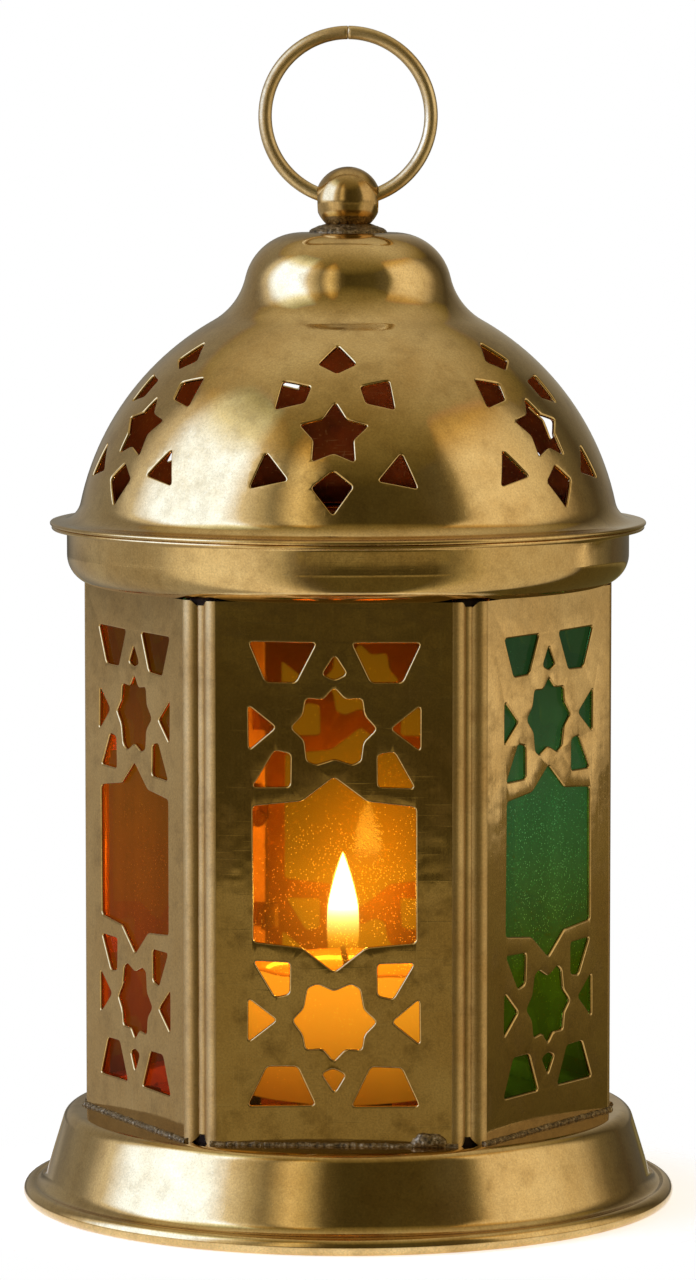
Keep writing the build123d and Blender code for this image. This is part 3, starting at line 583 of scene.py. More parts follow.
def makePanel(name, node, side, seed):
    low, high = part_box("panel_front")
    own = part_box(node)
    apothem, foldEnd = -low.y / mm, -high.y / mm
    halfWidth = high.x / mm - (panelSizes["doorGap"] if node == "door_panel" else 0.0)
    bottom, top = own[0].z / mm, own[1].z / mm
    middle = (low.z + high.z) / 2 / mm
    sheet, bend = panelSizes["sheet"], panelSizes["bend"]
    flatHalf = halfWidth - bend
    halfPattern = (high.x / mm - panelSizes["sideMargin"],
                   (high.z - low.z) / 2 / mm - panelSizes["endMargin"])
    holes = [[(x, y + middle) for x, y in loop] for loop in patternLoops(*halfPattern, random.Random(seed))]
    turn = side * sideStep
    points, faces = [], []

    def put(across, out, up):
        points.append(sidePoint(turn, across, out, up))
        return len(points) - 1

    frameLoop = [(-flatHalf, bottom), (flatHalf, bottom), (flatHalf, top), (-flatHalf, top)]
    rings = roundedRings(sheet, panelSizes["edgeRound"])
    for grow, depth in (rings[0], rings[-1]):
        spots, triangles = fillSheet([frameLoop] + [growLoop(hole, grow) for hole in holes])
        ids = [put(x, apothem - depth, y) for x, y in spots]
        faces += [tuple(ids[index] for index in triangle) for triangle in triangles]
    for hole in holes:
        first = len(points)
        for grow, depth in rings:
            for x, y in growLoop(hole, grow):
                put(x, apothem - depth, y)
        joinRows(faces, first, len(rings), len(hole))
    # Folded edges, mitred at both ends from the sheet's inner face
    for flip in (1, -1):
        stations = []
        for index in range(panelSizes["bendSteps"] + 1):
            swing = math.radians(90) * index / panelSizes["bendSteps"]
            for radius in (bend, bend - sheet):
                stations.append((flatHalf + radius * math.sin(swing),
                                 apothem - bend + radius * math.cos(swing)))
        stations += [(halfWidth, foldEnd), (halfWidth - sheet, foldEnd)]
        columns = []
        for across, out in stations:
            cut = max(0.0, apothem - sheet - out)
            columns.append((put(flip * across, out, bottom + cut), put(flip * across, out, top - cut)))
        for index in range(0, len(columns) - 2, 2):
            outer, inner, nextOuter, nextInner = columns[index:index + 4]
            faces.append((outer[0], nextOuter[0], nextOuter[1], outer[1]))
            faces.append((inner[0], nextInner[0], nextInner[1], inner[1]))
            for end in (0, 1):
                faces.append((outer[end], nextOuter[end], nextInner[end], inner[end]))
        faces.append((columns[-2][0], columns[-2][1], columns[-1][1], columns[-1][0]))
    for level in (bottom, top):
        faces.append((put(-flatHalf, apothem, level), put(flatHalf, apothem, level),
                      put(flatHalf, apothem - sheet, level), put(-flatHalf, apothem - sheet, level)))
    piece = makePiece(name, points, faces, 40, sheetBrass, dullBrass, foldBrass)
    outward, sideways = Vector(sidePoint(turn, 0, 1, 0)), Vector(sidePoint(turn, 1, 0, 0))
    for polygon in piece.data.polygons:
        folded = abs(polygon.center.dot(sideways)) > flatHalf * mm
        polygon.material_index = 1 if polygon.normal.dot(outward) < -0.5 else 2 if folded else 0
    evenNormals(piece)
    return piece


for side, sideName in enumerate(sideNames):
    node = "door_panel" if sideName == "rear" else "panel_" + sideName
    body = "door" if sideName == "rear" else "lantern"
    finishPiece(makePanel("pierced_" + node, node, side, 11 + side), body, "brass", node)
print("stage: panels")


def startSockets(tree, *sockets):
    for name, kind in sockets:
        tree.interface.new_socket(name, in_out="INPUT", socket_type="NodeSocket" + kind)
    tree.interface.new_socket("Geometry", in_out="OUTPUT", socket_type="NodeSocketGeometry")
    return partial(addNode, tree)


# Geometry Nodes tree that turns one group of cut-outs to each of its places round the axis
def turnedCopies(count):
    tree = bpy.data.node_groups.new("turnedCopies", "GeometryNodeTree")
    turns = [("Turn " + str(place), "Float") for place in range(count)]
    add = startSockets(tree, ("Geometry", "Geometry"), *turns, ("Join distance", "Float"),
                       ("Finish", "Material"))
    given = add("NodeGroupInput").outputs
    index = add("GeometryNodeInputIndex")
    angle = add("GeometryNodeIndexSwitch", data_type="FLOAT")
    while len(angle.index_switch_items) < count:
        angle.index_switch_items.new()
    setInputs(angle, {"Index": index})
    setInputs(angle, {place + 1: given["Turn " + str(place)] for place in range(count)})
    turn = add("CombineXYZ", {"Z": angle})
    rotation = add("FunctionNodeEulerToRotation", {0: turn})
    dots = add("GeometryNodePoints", {"Count": count})
    copies = add("GeometryNodeInstanceOnPoints",
                 {"Points": dots, "Instance": given["Geometry"], "Rotation": rotation})
    joined = add("GeometryNodeRealizeInstances", {"Geometry": copies})
    merged = add("GeometryNodeMergeByDistance", {"Geometry": joined, "Distance": given["Join distance"]})
    dressed = add("GeometryNodeSetMaterial", {"Geometry": merged, "Material": given["Finish"]})
    add("NodeGroupOutput", {0: dressed})
    return tree


def growNodes(piece, tree, **values):
    # Runs a Geometry Nodes tree on a piece and keeps the plain mesh that it makes
    modifier = piece.modifiers.new(tree.name, "NODES")
    modifier.node_group = tree
    names = {key.lower(): value for key, value in values.items()}
    for socket in tree.interface.items_tree:
        key = socket.name.replace(" ", "").lower()
        if socket.in_out == "INPUT" and key in names:
            modifier[socket.identifier] = names[key]
    graph = bpy.context.evaluated_depsgraph_get()
    mesh = bpy.data.meshes.new_from_object(piece.evaluated_get(graph))
    piece.modifiers.clear()
    piece.data = mesh


# Dome: a spun hemisphere with a cap, a flange and five groups of cut-outs
domeSizes = {
    "sheet": 1.0, "radius": 66.1, "sink": 9.3, "fillet": 5.5, "neck": 16.0, "shoulder": 13.8, "flat": 11.3,
    "edgeRound": 0.42, "cornerRound": 0.8, "handShake": 0.15, "topDeg": 57.5, "rowDeg": 2.0, "edgeStep": 1.2,
    "gridClearDeg": 0.8, "gridNarrow": 0.8,
    "turnsDeg": (0.0, 56.25, 121.875, 211.875, 303.75), "groupHalfSteps": 13,
    "star": {"radius": 8.6, "points": 5, "waist": 0.55, "liftDeg": 30.2},
    "kite": ((0.0, 53.4), (5.8, 47.8), (0.0, 45.2), (-5.8, 47.8)),
    "diamond": ((0.0, 22.1), (4.4, 18.7), (0.0, 12.9), (-4.4, 18.7)),
    "quad": ((14.9, 43.1), (6.6, 41.6), (7.8, 37.5), (15.1, 35.9)),
    "triangle": ((15.3, 25.9), (9.9, 20.0), (18.2, 18.4)),
}


def domeDirection(turnDeg, liftDeg):
    turn, lift = math.radians(turnDeg), math.radians(liftDeg)
    return Vector((math.cos(lift) * math.sin(turn), -math.cos(lift) * math.cos(turn), math.sin(lift)))


def domeHoles(chance):
    # Each hole: its own flat axes and its loop of corners there, in millimetres
    sizes = domeSizes
    star = sizes["star"]
    shapes = [((0.0, star["liftDeg"]), starLoop(star["radius"], star["waist"], star["points"], 90))]
    corners = [sizes["kite"], sizes["diamond"]]
    for name in ("quad", "triangle"):
        corners += [sizes[name], [(-turn, lift) for turn, lift in sizes[name]]]
    for group in corners:
        centre = (sum(turn for turn, lift in group) / len(group),
                  sum(lift for turn, lift in group) / len(group))
        out, across = domeDirection(*centre), domeDirection(centre[0] + 90, 0)
        up = out.cross(across)
        loop = []
        for turn, lift in group:
            ray = domeDirection(turn, lift)
            point = ray * (sizes["radius"] / ray.dot(out))
            loop.append((point.dot(across), point.dot(up)))
        shapes.append((centre, loop))
    holes = []
    for centre, loop in shapes:
        out, across = domeDirection(*centre), domeDirection(centre[0] + 90, 0)
        loop = roundLoop(shakeLoop(anticlockwise(loop), sizes["handShake"], chance), sizes["cornerRound"])
        fine = []
        for start, end in zip(loop, loop[1:] + loop[:1]):
            count = max(1, round(math.dist(start, end) / sizes["edgeStep"]))
            fine += [tuple(Vector(start).lerp(Vector(end), index / count)) for index in range(count)]
        holes.append((out, across, out.cross(across), fine))
    return holes


def domeChain(inset):
    # Crown to sphere, and sphere to flange, as two chains of (radius, height) at a depth in the sheet
    low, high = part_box("dome")
    flangeTop, crownTop, edge = low.z / mm + domeSizes["sheet"], high.z / mm, high.x / mm
    radius, neckRadius, shoulder = domeSizes["radius"], domeSizes["neck"], domeSizes["shoulder"]
    sphere = (0.0, flangeTop - domeSizes["sink"])
    cap = (domeSizes["flat"], crownTop - shoulder)
    span = math.dist(cap, sphere)
    far, near = radius + neckRadius, shoulder + neckRadius
    aside = math.degrees(math.acos((span ** 2 + far ** 2 - near ** 2) / (2 * span * far)))
    swing = math.radians(headingDeg(sphere, cap) - aside)
    neck = (far * math.cos(swing), sphere[1] + far * math.sin(swing))
    rise = flangeTop + domeSizes["fillet"]
    fillet = (math.sqrt((radius + domeSizes["fillet"]) ** 2 - (rise - sphere[1]) ** 2), rise)
    capEnd, sphereStart = headingDeg(cap, neck), headingDeg(sphere, neck)
    sphereEnd = headingDeg(sphere, fillet)
    crown = [(0.0, crownTop - inset)] + arcPoints(cap, shoulder - inset, 90, capEnd, 4)
    crown += arcPoints(neck, neckRadius + inset, capEnd + 180, sphereStart + 180, 4)[1:]
    crown += arcPoints(sphere, radius - inset, sphereStart, domeSizes["topDeg"], 1.5)[1:]
    foot = arcPoints(fillet, domeSizes["fillet"] + inset, sphereEnd + 180, 270, 8)
    foot.append((edge - domeSizes["sheet"] / 2, flangeTop - inset))
    return crown, foot, sphere[1], sphereEnd


def makeDome():
    sizes = domeSizes
    crown, foot, centreUp, lowDeg = domeChain(0)
    holes = domeHoles(random.Random(5))
    rings = roundedRings(sizes["sheet"], sizes["edgeRound"])
    stepDeg, cells = 360 / ringSteps, 2 * sizes["groupHalfSteps"]
    half = stepDeg * sizes["groupHalfSteps"]
    rows = round((sizes["topDeg"] - lowDeg) / sizes["rowDeg"])
    centre = Vector((0, 0, centreUp))

    def onSphere(hole, grow, depth):
        out, across, up, loop = hole
        spots = [out * sizes["radius"] + across * x + up * y for x, y in growLoop(loop, grow)]
        return [spot.normalized() * (sizes["radius"] - depth) + centre for spot in spots]

    def angles(spot):
        ray = (Vector(spot) - centre).normalized()
        return (math.degrees(math.atan2(ray.x, -ray.y)), math.degrees(math.asin(ray.z)))

    across = [-half + 2 * half * index / cells for index in range(cells + 1)]
    upward = [lowDeg + (sizes["topDeg"] - lowDeg) * index / rows for index in range(rows + 1)]
    border = [(turn, lowDeg) for turn in across] + [(half, lift) for lift in upward[1:]]
    border += [(turn, sizes["topDeg"]) for turn in reversed(across[:-1])]
    border += [(-half, lift) for lift in reversed(upward[1:-1])]
    loops = {depth: [[angles(spot) for spot in onSphere(hole, grow, depth)] for hole in holes]
             for grow, depth in (rings[0], rings[-1])}
    grid, narrow = [], sizes["gridNarrow"]
    edgeSpots = [spot for loop in loops[rings[-1][1]] for spot in loop]
    for turn in across[1:-1]:
        for lift in upward[1:-1]:
            clear = min(math.dist((turn * narrow, lift), (x * narrow, y)) for x, y in edgeSpots)
            if clear > sizes["gridClearDeg"]:
                grid.append((turn, lift))
    points, faces = [], []
    for depth, outlines in loops.items():
        spots, triangles = fillSheet([border] + outlines,
                                     [spot for spot in grid if outsideAll(spot, outlines)])
        first = len(points)
        reach = sizes["radius"] - depth
        points += [tuple(domeDirection(*spot) * reach + centre) for spot in spots]
        faces += [tuple(first + index for index in triangle) for triangle in triangles]
    for hole in holes:
        first = len(points)
        for grow, depth in rings:
            points += [tuple(spot) for spot in onSphere(hole, grow, depth)]
        joinRows(faces, first, len(rings), len(hole[-1]))
    sector = makePiece("dome_sector", points, faces, 40)
    turns = sizes["turnsDeg"]
    places = {"turn" + str(place): math.radians(turnDeg) for place, turnDeg in enumerate(turns)}
    growNodes(sector, turnedCopies(len(turns)), joinDistance=0.01 * mm, finish=spunBrass, **places)
    points = [tuple(vertex.co / mm) for vertex in sector.data.vertices]
    faces = [tuple(polygon.vertices) for polygon in sector.data.polygons]
    bpy.data.objects.remove(sector)
    # Plain sheet between the groups
    for before, after in zip(turns, turns[1:] + (turns[0] + 360,)):
        count = round((after - before - 2 * half) / stepDeg)
        for reach in (sizes["radius"], sizes["radius"] - sizes["sheet"]):
            first = len(points)
            points += [tuple(domeDirection(before + half + stepDeg * index, lift) * reach + centre)
                       for index in range(count + 1) for lift in upward]
            for index in range(count):
                for row in range(rows):
                    here = first + index * (rows + 1) + row
                    faces.append((here, here + rows + 1, here + rows + 2, here + 1))
    crownIn, footIn = domeChain(sizes["sheet"])[:2]
    edge = (foot[-1][0], foot[-1][1] - sizes["sheet"] / 2)
    lathe(crown, points, faces)
    lathe(crownIn, points, faces)
    rim = arcPoints(edge, sizes["sheet"] / 2, 90, -90, 30)
    lathe(foot + rim[1:] + list(reversed(footIn))[1:], points, faces)
    piece = makePiece("spun_dome", points, faces, 50, spunBrass, sootBrass)
    for polygon in piece.data.polygons:
        inward = polygon.normal.dot((polygon.center - centre * mm).normalized()) < -0.5
        polygon.material_index = 1 if inward and polygon.center.z > foot[-1][1] * mm else 0
    evenNormals(piece)
    return piece


finishPiece(makeDome(), "lantern", "brass", "dome")
print("stage: dome")


# Spun foot: deck, rounded shoulder, sloping skirt, cove and a rolled rim
baseSizes = {"sheet": 1.0, "shoulderEdge": 68.70, "skirtFoot": 73.90, "coveHeight": 5.0,
             "shoulderRadius": 3.2, "coveRadius": 4.0, "rollRadius": 2.2, "rollFlat": 0.25,
             "rollTurnsDeg": (118, -200), "coveEnd": 1.2, "skirtEnd": 2.0}


def filletChain(corners, radii, stepDeg=6.0):
    # Chain of straight runs whose inner corners are rounded
    chain = [corners[0]]
    for before, here, after, radius in zip(corners, corners[1:], corners[2:], radii):
        corner = Vector(here)
        back, ahead = ((Vector(end) - corner).normalized() for end in (before, after))
        half = back.angle(ahead) / 2
        reach = radius / math.tan(half)
        centre = corner + (back + ahead).normalized() * radius / math.sin(half)
        start, end = corner + back * reach, corner + ahead * reach
        startDeg, endDeg = headingDeg(centre, start), headingDeg(centre, end)
        swing = (endDeg - startDeg + 180) % 360 - 180
        chain += arcPoints(centre, radius, startDeg, startDeg + swing, stepDeg)
    chain.append(corners[-1])
    return chain


def makeBase():
    sizes = baseSizes
    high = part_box("base_pan")[1]
    top, outside = high.z / mm, high.x / mm
    rollUp = sizes["rollRadius"] - sizes["rollFlat"]
    rollMiddle = outside - sizes["rollRadius"]
    spine = [(0.0, top), (sizes["shoulderEdge"], top), (sizes["skirtFoot"], sizes["coveHeight"]),
             (rollMiddle, rollUp + sizes["coveEnd"])]
    outer = filletChain(spine, (sizes["shoulderRadius"], sizes["coveRadius"]), 5)
    roll = arcPoints((rollMiddle, rollUp), sizes["rollRadius"], *sizes["rollTurnsDeg"], 8)
    roll = [(radius, max(height, 0.0)) for radius, height in roll]
    slope = math.atan2(sizes["skirtFoot"] - sizes["shoulderEdge"], top - sizes["coveHeight"])
    shift = sizes["sheet"] / math.cos(slope) - sizes["sheet"] * math.tan(slope)
    inside = [(0.0, top - sizes["sheet"]), (sizes["shoulderEdge"] - shift, top - sizes["sheet"]),
              (sizes["skirtFoot"] - shift, sizes["coveHeight"] - sizes["sheet"] * 0.5),
              (rollMiddle - sizes["skirtEnd"], rollUp)]
    inner = filletChain(inside, (sizes["shoulderRadius"] - sizes["sheet"], sizes["coveRadius"]), 6)
    return turnedPiece("spun_base", outer[:-1] + roll + list(reversed(inner[:-1])), 50, spunBrass)


# Spun collar: ledge over the panels, ovolo, upright wall and a flange under the dome's
collarSizes = {"sheet": 1.0, "mouth": 50.0, "wall": 68.0, "ovolo": 7.2, "root": 0.8}


def collarChain(inset):
    sizes = collarSizes
    low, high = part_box("collar")
    bottom, flangeUnder = low.z / mm, high.z / mm - sizes["sheet"]
    ovolo = (sizes["wall"] - sizes["ovolo"], bottom + sizes["ovolo"])
    root = (sizes["wall"] + sizes["root"], flangeUnder - sizes["root"])
    chain = [(sizes["mouth"], bottom + inset)] + arcPoints(ovolo, sizes["ovolo"] - inset, -90, 0, 5)
    chain += arcPoints(root, sizes["root"] + inset, 180, 90, 15)
    chain.append((high.x / mm - sizes["sheet"] / 2, flangeUnder + inset))
    return chain


def makeCollar():
    outer, inner = collarChain(0), collarChain(collarSizes["sheet"])
    edge = (outer[-1][0], outer[-1][1] + collarSizes["sheet"] / 2)
    loop = outer + arcPoints(edge, collarSizes["sheet"] / 2, -90, 90, 30)[1:] + list(reversed(inner))[1:]
    return turnedPiece("spun_collar", loop + loop[:1], 50, spunBrass)


finishPiece(makeBase(), "lantern", "brass", "base_pan")
finishPiece(makeCollar(), "lantern", "brass", "collar")
print("stage: base and collar")


# Ball with its flared cross hole and peened tail, and the wire ring through it
finialSizes = {"ball": 7.9, "tail": 2.5, "head": 3.8, "headHeight": 1.0, "ring": 20.0, "wire": 1.63,
               "gap": 0.15, "joint": 0.1, "ringSteps": 168, "wireSteps": 28, "filedDeg": 0.3,
               "filedShare": 0.93}


def makeBall():
    sizes = finialSizes
    low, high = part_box("finial_ball")
    centre = high.z / mm - sizes["ball"]
    sweep = sizes["ring"] - sizes["wire"] - sizes["gap"]
    meet = 0.0
    while sizes["ring"] - math.sqrt(sweep ** 2 - meet ** 2) < math.sqrt(sizes["ball"] ** 2 - meet ** 2):
        meet += 0.01
    mouthDeg = math.degrees(math.acos(meet / sizes["ball"]))
    bore = [(sizes["ring"] - math.sqrt(sweep ** 2 - along ** 2), along)
            for along in [meet * (index / 8 - 1) for index in range(17)]]
    skin = [(sizes["ball"] * math.sin(math.radians(angle)), sizes["ball"] * math.cos(math.radians(angle)))
            for angle in [mouthDeg + (180 - 2 * mouthDeg) * index / 40 for index in range(41)]]
    points, faces = [], []
    lathe(bore + skin[1:], points, faces, steps=64, place=lambda spot: (spot[2], spot[0], spot[1] + centre))
    tail = low.z / mm
    neck, rodTop = tail + sizes["headHeight"], centre - sizes["ball"] + 0.6
    rod = [(0.0, tail), (sizes["head"] - 0.3, tail), (sizes["head"], tail + 0.3), (sizes["head"], neck),
           (sizes["tail"], neck), (sizes["tail"], rodTop), (0.0, rodTop)]
    lathe(rod, points, faces, steps=48)
    return makePiece("finial_ball_turned", points, faces, 35, turnedBrass)


def makeRing():
    sizes = finialSizes
    low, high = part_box("carrying_ring")
    centre = (low.z + high.z) / 2 / mm
    half = math.degrees(sizes["joint"] / 2 / sizes["ring"])
    points, faces = [], []
    count, around = sizes["ringSteps"], sizes["wireSteps"]
    filed, filedShare = sizes["filedDeg"], sizes["filedShare"]
    stations = [(half, filedShare), (half + filed, 1.0)]
    stations += [(half + filed + (360 - 2 * filed - 2 * half) * index / count, 1.0)
                 for index in range(1, count)]
    stations += [(360 - filed - half, 1.0), (360 - half, filedShare)]
    for turnDeg, share in stations:
        turn = math.radians(turnDeg)
        for index in range(around):
            swing = 2 * math.pi * index / around
            reach = sizes["ring"] + sizes["wire"] * share * math.cos(swing)
            depth = sizes["wire"] * share * math.sin(swing)
            points.append((reach * math.sin(turn), depth, centre + reach * math.cos(turn)))
    joinRows(faces, 0, len(stations), around)
    faces.append(tuple(range(around)))
    faces.append(tuple(range(len(points) - around, len(points))))
    return makePiece("wire_ring", points, faces, 60, wireBrass)


# Solder: an uneven heap round the ball's foot, runs along the panels' feet, a drop that ran up the front
# panel, and the corners' beads and plugs, each given as its inset from the corner and its radius; the plugs
# are painted shade
solderSizes = {"runRadius": 0.95, "runLump": 0.5, "runMargin": 1.5, "runSink": 0.1, "seatLump": (0.35, 0.2),
               "bead": (1.1, 2.5), "beadEnds": (2.0, 1.2), "plug": (7.5, 8.6), "plugReach": 3.2,
               "plugOver": (0.1, 0.3), "sway": 0.12, "blobAcross": 22.3, "blob": (4.2, 1.7, 2.4),
               "seat": ((0.0, 0.0), (9.4, 0.0), (9.3, 0.5), (8.6, 0.9), (7.3, 1.4), (6.4, 1.8), (5.5, 2.0),
                        (0.0, 2.0))}


def makeSeatSolder():
    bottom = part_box("finial_solder")[0].z / mm
    lumpOut, lumpUp = solderSizes["seatLump"]
    profile = [(radius, bottom + height) for radius, height in solderSizes["seat"]]

    def lumpy(spot):
        shift = noise.noise(Vector(spot) * 0.55) + 0.5 * noise.noise(Vector(spot) * 1.4)
        radius = math.hypot(spot[0], spot[1])
        if radius < 1:
            return spot
        share = 1 + lumpOut * (shift - 0.2) / max(radius, 3.0)
        return (spot[0] * share, spot[1] * share, spot[2] + lumpUp * shift * (spot[2] > bottom + 0.1))

    dense = []
    for start, end in zip(profile, profile[1:]):
        dense += runPoints(start, end, max(1, round(math.dist(start, end) / 0.5)))
    return turnedPiece("seat_solder", dense + profile[-1:], 70, softSolder, steps=96, place=lumpy)


finishPiece(makeBall(), "lantern", "brass", "finial_ball")
finishPiece(makeRing(), "ring", "brass", "carrying_ring")
finishPiece(makeSeatSolder(), "lantern", "solder", "finial_solder")
print("stage: finial")


# Geometry Nodes tree for the solder runs: a lumpy bead along the foot of each fixed panel
def solderRuns():
    tree = bpy.data.node_groups.new("solderRuns", "GeometryNodeTree")
    lengths = [(name, "Float") for name in ("Length", "Apothem", "Level", "Radius", "Lump")]
    add = startSockets(tree, *lengths, ("Sides", "Int"), ("Door side", "Int"), ("Finish", "Material"))
    given = add("NodeGroupInput").outputs
    halfRun = add("Math", (given["Length"], 0.5), operation="MULTIPLY")
    backRun = add("Math", (given["Length"], -0.5), operation="MULTIPLY")
    out = add("Math", (given["Apothem"], -1.0), operation="MULTIPLY")
    start = add("CombineXYZ", {"X": backRun, "Y": out, "Z": given["Level"]})
    end = add("CombineXYZ", {"X": halfRun, "Y": out, "Z": given["Level"]})
    line = add("GeometryNodeCurvePrimitiveLine", {"Start": start, "End": end})
    dense = add("GeometryNodeResampleCurve", {"Curve": line, "Count": 220})
    circle = add("GeometryNodeCurvePrimitiveCircle", {"Resolution": 12, "Radius": given["Radius"]})
    tube = add("GeometryNodeCurveToMesh", {"Curve": dense, "Profile Curve": circle, "Fill Caps": True})
    index = add("GeometryNodeInputIndex")
    step = add("Math", (2 * math.pi, given["Sides"]), operation="DIVIDE")
    angle = add("Math", (index, step), operation="MULTIPLY")
    turn = add("CombineXYZ", {"Z": angle})
    rotation = add("FunctionNodeEulerToRotation", {0: turn})
    kept = add("FunctionNodeCompare", {2: index, 3: given["Door side"]}, data_type="INT",
               operation="NOT_EQUAL")
    dots = add("GeometryNodePoints", {"Count": given["Sides"]})
    copies = add("GeometryNodeInstanceOnPoints",
                 {"Points": dots, "Selection": kept, "Instance": tube, "Rotation": rotation})
    joined = add("GeometryNodeRealizeInstances", {"Geometry": copies})
    normal = add("GeometryNodeInputNormal")
    lump = add("TexNoise", {"Scale": 1 / (1.6 * mm), "Detail": 4.0, "Roughness": 0.65})
    centred = add("Math", (lump, 0.5), operation="SUBTRACT")
    height = add("Math", (centred, given["Lump"]), operation="MULTIPLY")
    offset = add("VectorMath", {0: normal, 3: height}, operation="SCALE")
    moved = add("GeometryNodeSetPosition", {"Geometry": joined, "Offset": offset})
    smooth = add("GeometryNodeSetShadeSmooth", {"Geometry": moved})
    dressed = add("GeometryNodeSetMaterial", {"Geometry": smooth, "Material": given["Finish"]})
    add("NodeGroupOutput", {0: dressed})
    return tree


def makeBaseSolder():
    low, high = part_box("panel_front")
    piece = makeObject("foot_solder", bpy.data.meshes.new("foot_solder"))
    length, sink = 2 * (high.x - solderSizes["runMargin"] * mm), solderSizes["runSink"] * mm
    growNodes(piece, solderRuns(), length=length, apothem=-low.y - sink, level=low.z - sink,
              radius=solderSizes["runRadius"] * mm, lump=2 * solderSizes["runLump"] * mm,
              sides=len(sideNames), doorSide=sideNames.index("rear"), finish=softSolder)
    return piece


def makeSolderBlob():
    # Drop of solder that ran up the front panel's foot
    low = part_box("panel_front")[0]
    halfLength, depth, height = solderSizes["blob"]

    def drop(spot):
        slow = noise.noise(Vector(spot) * 1.7 + Vector((3.0, 1.0, 5.0)))
        quick = noise.noise(Vector(spot) * 5.0)
        shift = 1 + 0.22 * slow + 0.1 * quick
        return (solderSizes["blobAcross"] + spot[0] * halfLength * shift,
                low.y / mm + spot[1] * depth * shift,
                low.z / mm + 0.9 + spot[2] * height * shift * (0.6 if spot[2] < 0 else 1.0))

    return turnedPiece("foot_solder_drop", ballProfile(1.0, 9), 80, softSolder, steps=36, place=drop)


def makeCornerFills(name, material, inset, radius, spans):
    # Upright rods in the four soldered corners, each span a start and an end above the panels' foot
    low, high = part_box("panel_front")
    corner = math.hypot(high.x, high.y) / mm
    points, faces = [], []
    for turnDeg in (-90, -30, 30, 90):
        turn = math.radians(turnDeg)
        outward = Vector((math.sin(turn), -math.cos(turn), 0))

        def inCorner(spot):
            sway = solderSizes["sway"] * noise.noise(Vector((spot[2] * 0.2, turnDeg, 0)))
            return tuple(Vector(spot) + outward * (corner - inset + sway))

        for start, end in spans:
            count = max(2, round((end - start) / 6))
            levels = [low.z / mm + start + (end - start) * index / count for index in range(count + 1)]
            rows = [(0.0, levels[0])] + [(radius, level) for level in levels] + [(0.0, levels[-1])]
            lathe(rows, points, faces, steps=32, place=inCorner)
    return makePiece(name, points, faces, 50, material)


panelLow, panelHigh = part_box("panel_front")
panelRise = (panelHigh.z - panelLow.z) / mm
beadStart, beadStop = solderSizes["beadEnds"]
under, over = solderSizes["plugOver"]
plugSpans = ((-under, solderSizes["plugReach"]), (panelRise - solderSizes["plugReach"], panelRise + over))
beads = makeCornerFills("corner_fills", foldBrass, *solderSizes["bead"], ((beadStart, panelRise - beadStop),))
# Plugs of painted shade: near-black rods in the corner notches at the panels' top and foot
plugs = makeCornerFills("corner_plugs", notchSoot, *solderSizes["plug"], plugSpans)
finishPiece(beads, "lantern", "brass")
finishPiece(plugs, "lantern", "brass")
finishPiece(makeBaseSolder(), "lantern", "solder", "base_solder")
finishPiece(makeSolderBlob(), "lantern", "solder")
print("stage: solder")


# Panes: hand-rolled glass, a little wavy, with ground edges
paneSizes = {"columns": 24, "rows": 58, "wave": 0.02, "face": 0.06, "groundEdge": 0.25, "waveAcross": 0.09,
             "waveUp": 0.06}


def makePane(name, side, material, seed):
    low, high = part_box("glass_front")
    half, out, inside = high.x / mm, -low.y / mm, -high.y / mm
    bottom, top = low.z / mm, high.z / mm
    turn = side * sideStep
    columns, rows = paneSizes["columns"], paneSizes["rows"]
    points, faces = [], []
    for face, (depth, way) in enumerate(((out, 1), (inside, -1))):
        for row in range(rows + 1):
            for column in range(columns + 1):
                across = -half + 2 * half * column / columns
                up = bottom + (top - bottom) * row / rows
                rim = column in (0, columns) or row in (0, rows)
                spot = Vector((across * paneSizes["waveAcross"] + seed, up * paneSizes["waveUp"], face * 7.0))
                wave = paneSizes["wave"] * noise.noise(spot)
                inset = paneSizes["groundEdge"] if rim else paneSizes["face"] + wave
                points.append(sidePoint(turn, across, depth - way * inset, up))
        first = face * (rows + 1) * (columns + 1)
        for row in range(rows):
            for column in range(columns):
                here = first + row * (columns + 1) + column
                faces.append((here, here + 1, here + columns + 2, here + columns + 1))
    back = (rows + 1) * (columns + 1)
    rim = list(range(columns)) + [row * (columns + 1) + columns for row in range(rows)]
    rim += [rows * (columns + 1) + column for column in range(columns, 0, -1)]
    rim += [row * (columns + 1) for row in range(rows, 0, -1)]
    for here, after in zip(rim, rim[1:] + rim[:1]):
        faces.append((here, after, back + after, back + here))
    return makePiece(name, points, faces, 50, material)


slotOf = {part["node"]: part["material_slot"] for part in frame["record"]["subparts"]}
for side, sideName in enumerate(sideNames):
    node = "door_glass" if sideName == "rear" else "glass_" + sideName
    body = "door" if sideName == "rear" else "lantern"
    pane = makePane("rolled_" + node, side, paneMaterials[slotOf[node]], 3.1 * side)
    finishPiece(pane, body, slotOf[node], node)
print("stage: panes")


# Candle: poured wax with a melted pool, its wick and its flame
candleSizes = {"radius": 24.6, "pool": 21.0, "poolDepth": 2.2, "edge": 1.2, "wick": 0.9, "recess": 9.0,
               "recessDepth": 2.6, "bevel": 0.6, "wickBend": 0.8, "wickLean": (1.4, 0.3),
               "flameLean": (1.2, 0.3), "flameFlat": 0.92,
               "flame": ((1.6, 57.6), (3.0, 58.8), (3.6, 60.8), (3.85, 63.6), (3.9, 66.6), (3.75, 69.6),
                         (3.35, 72.6), (2.7, 75.6), (1.9, 78.6), (1.05, 81.4), (0.45, 83.0), (0.0, 84.2))}


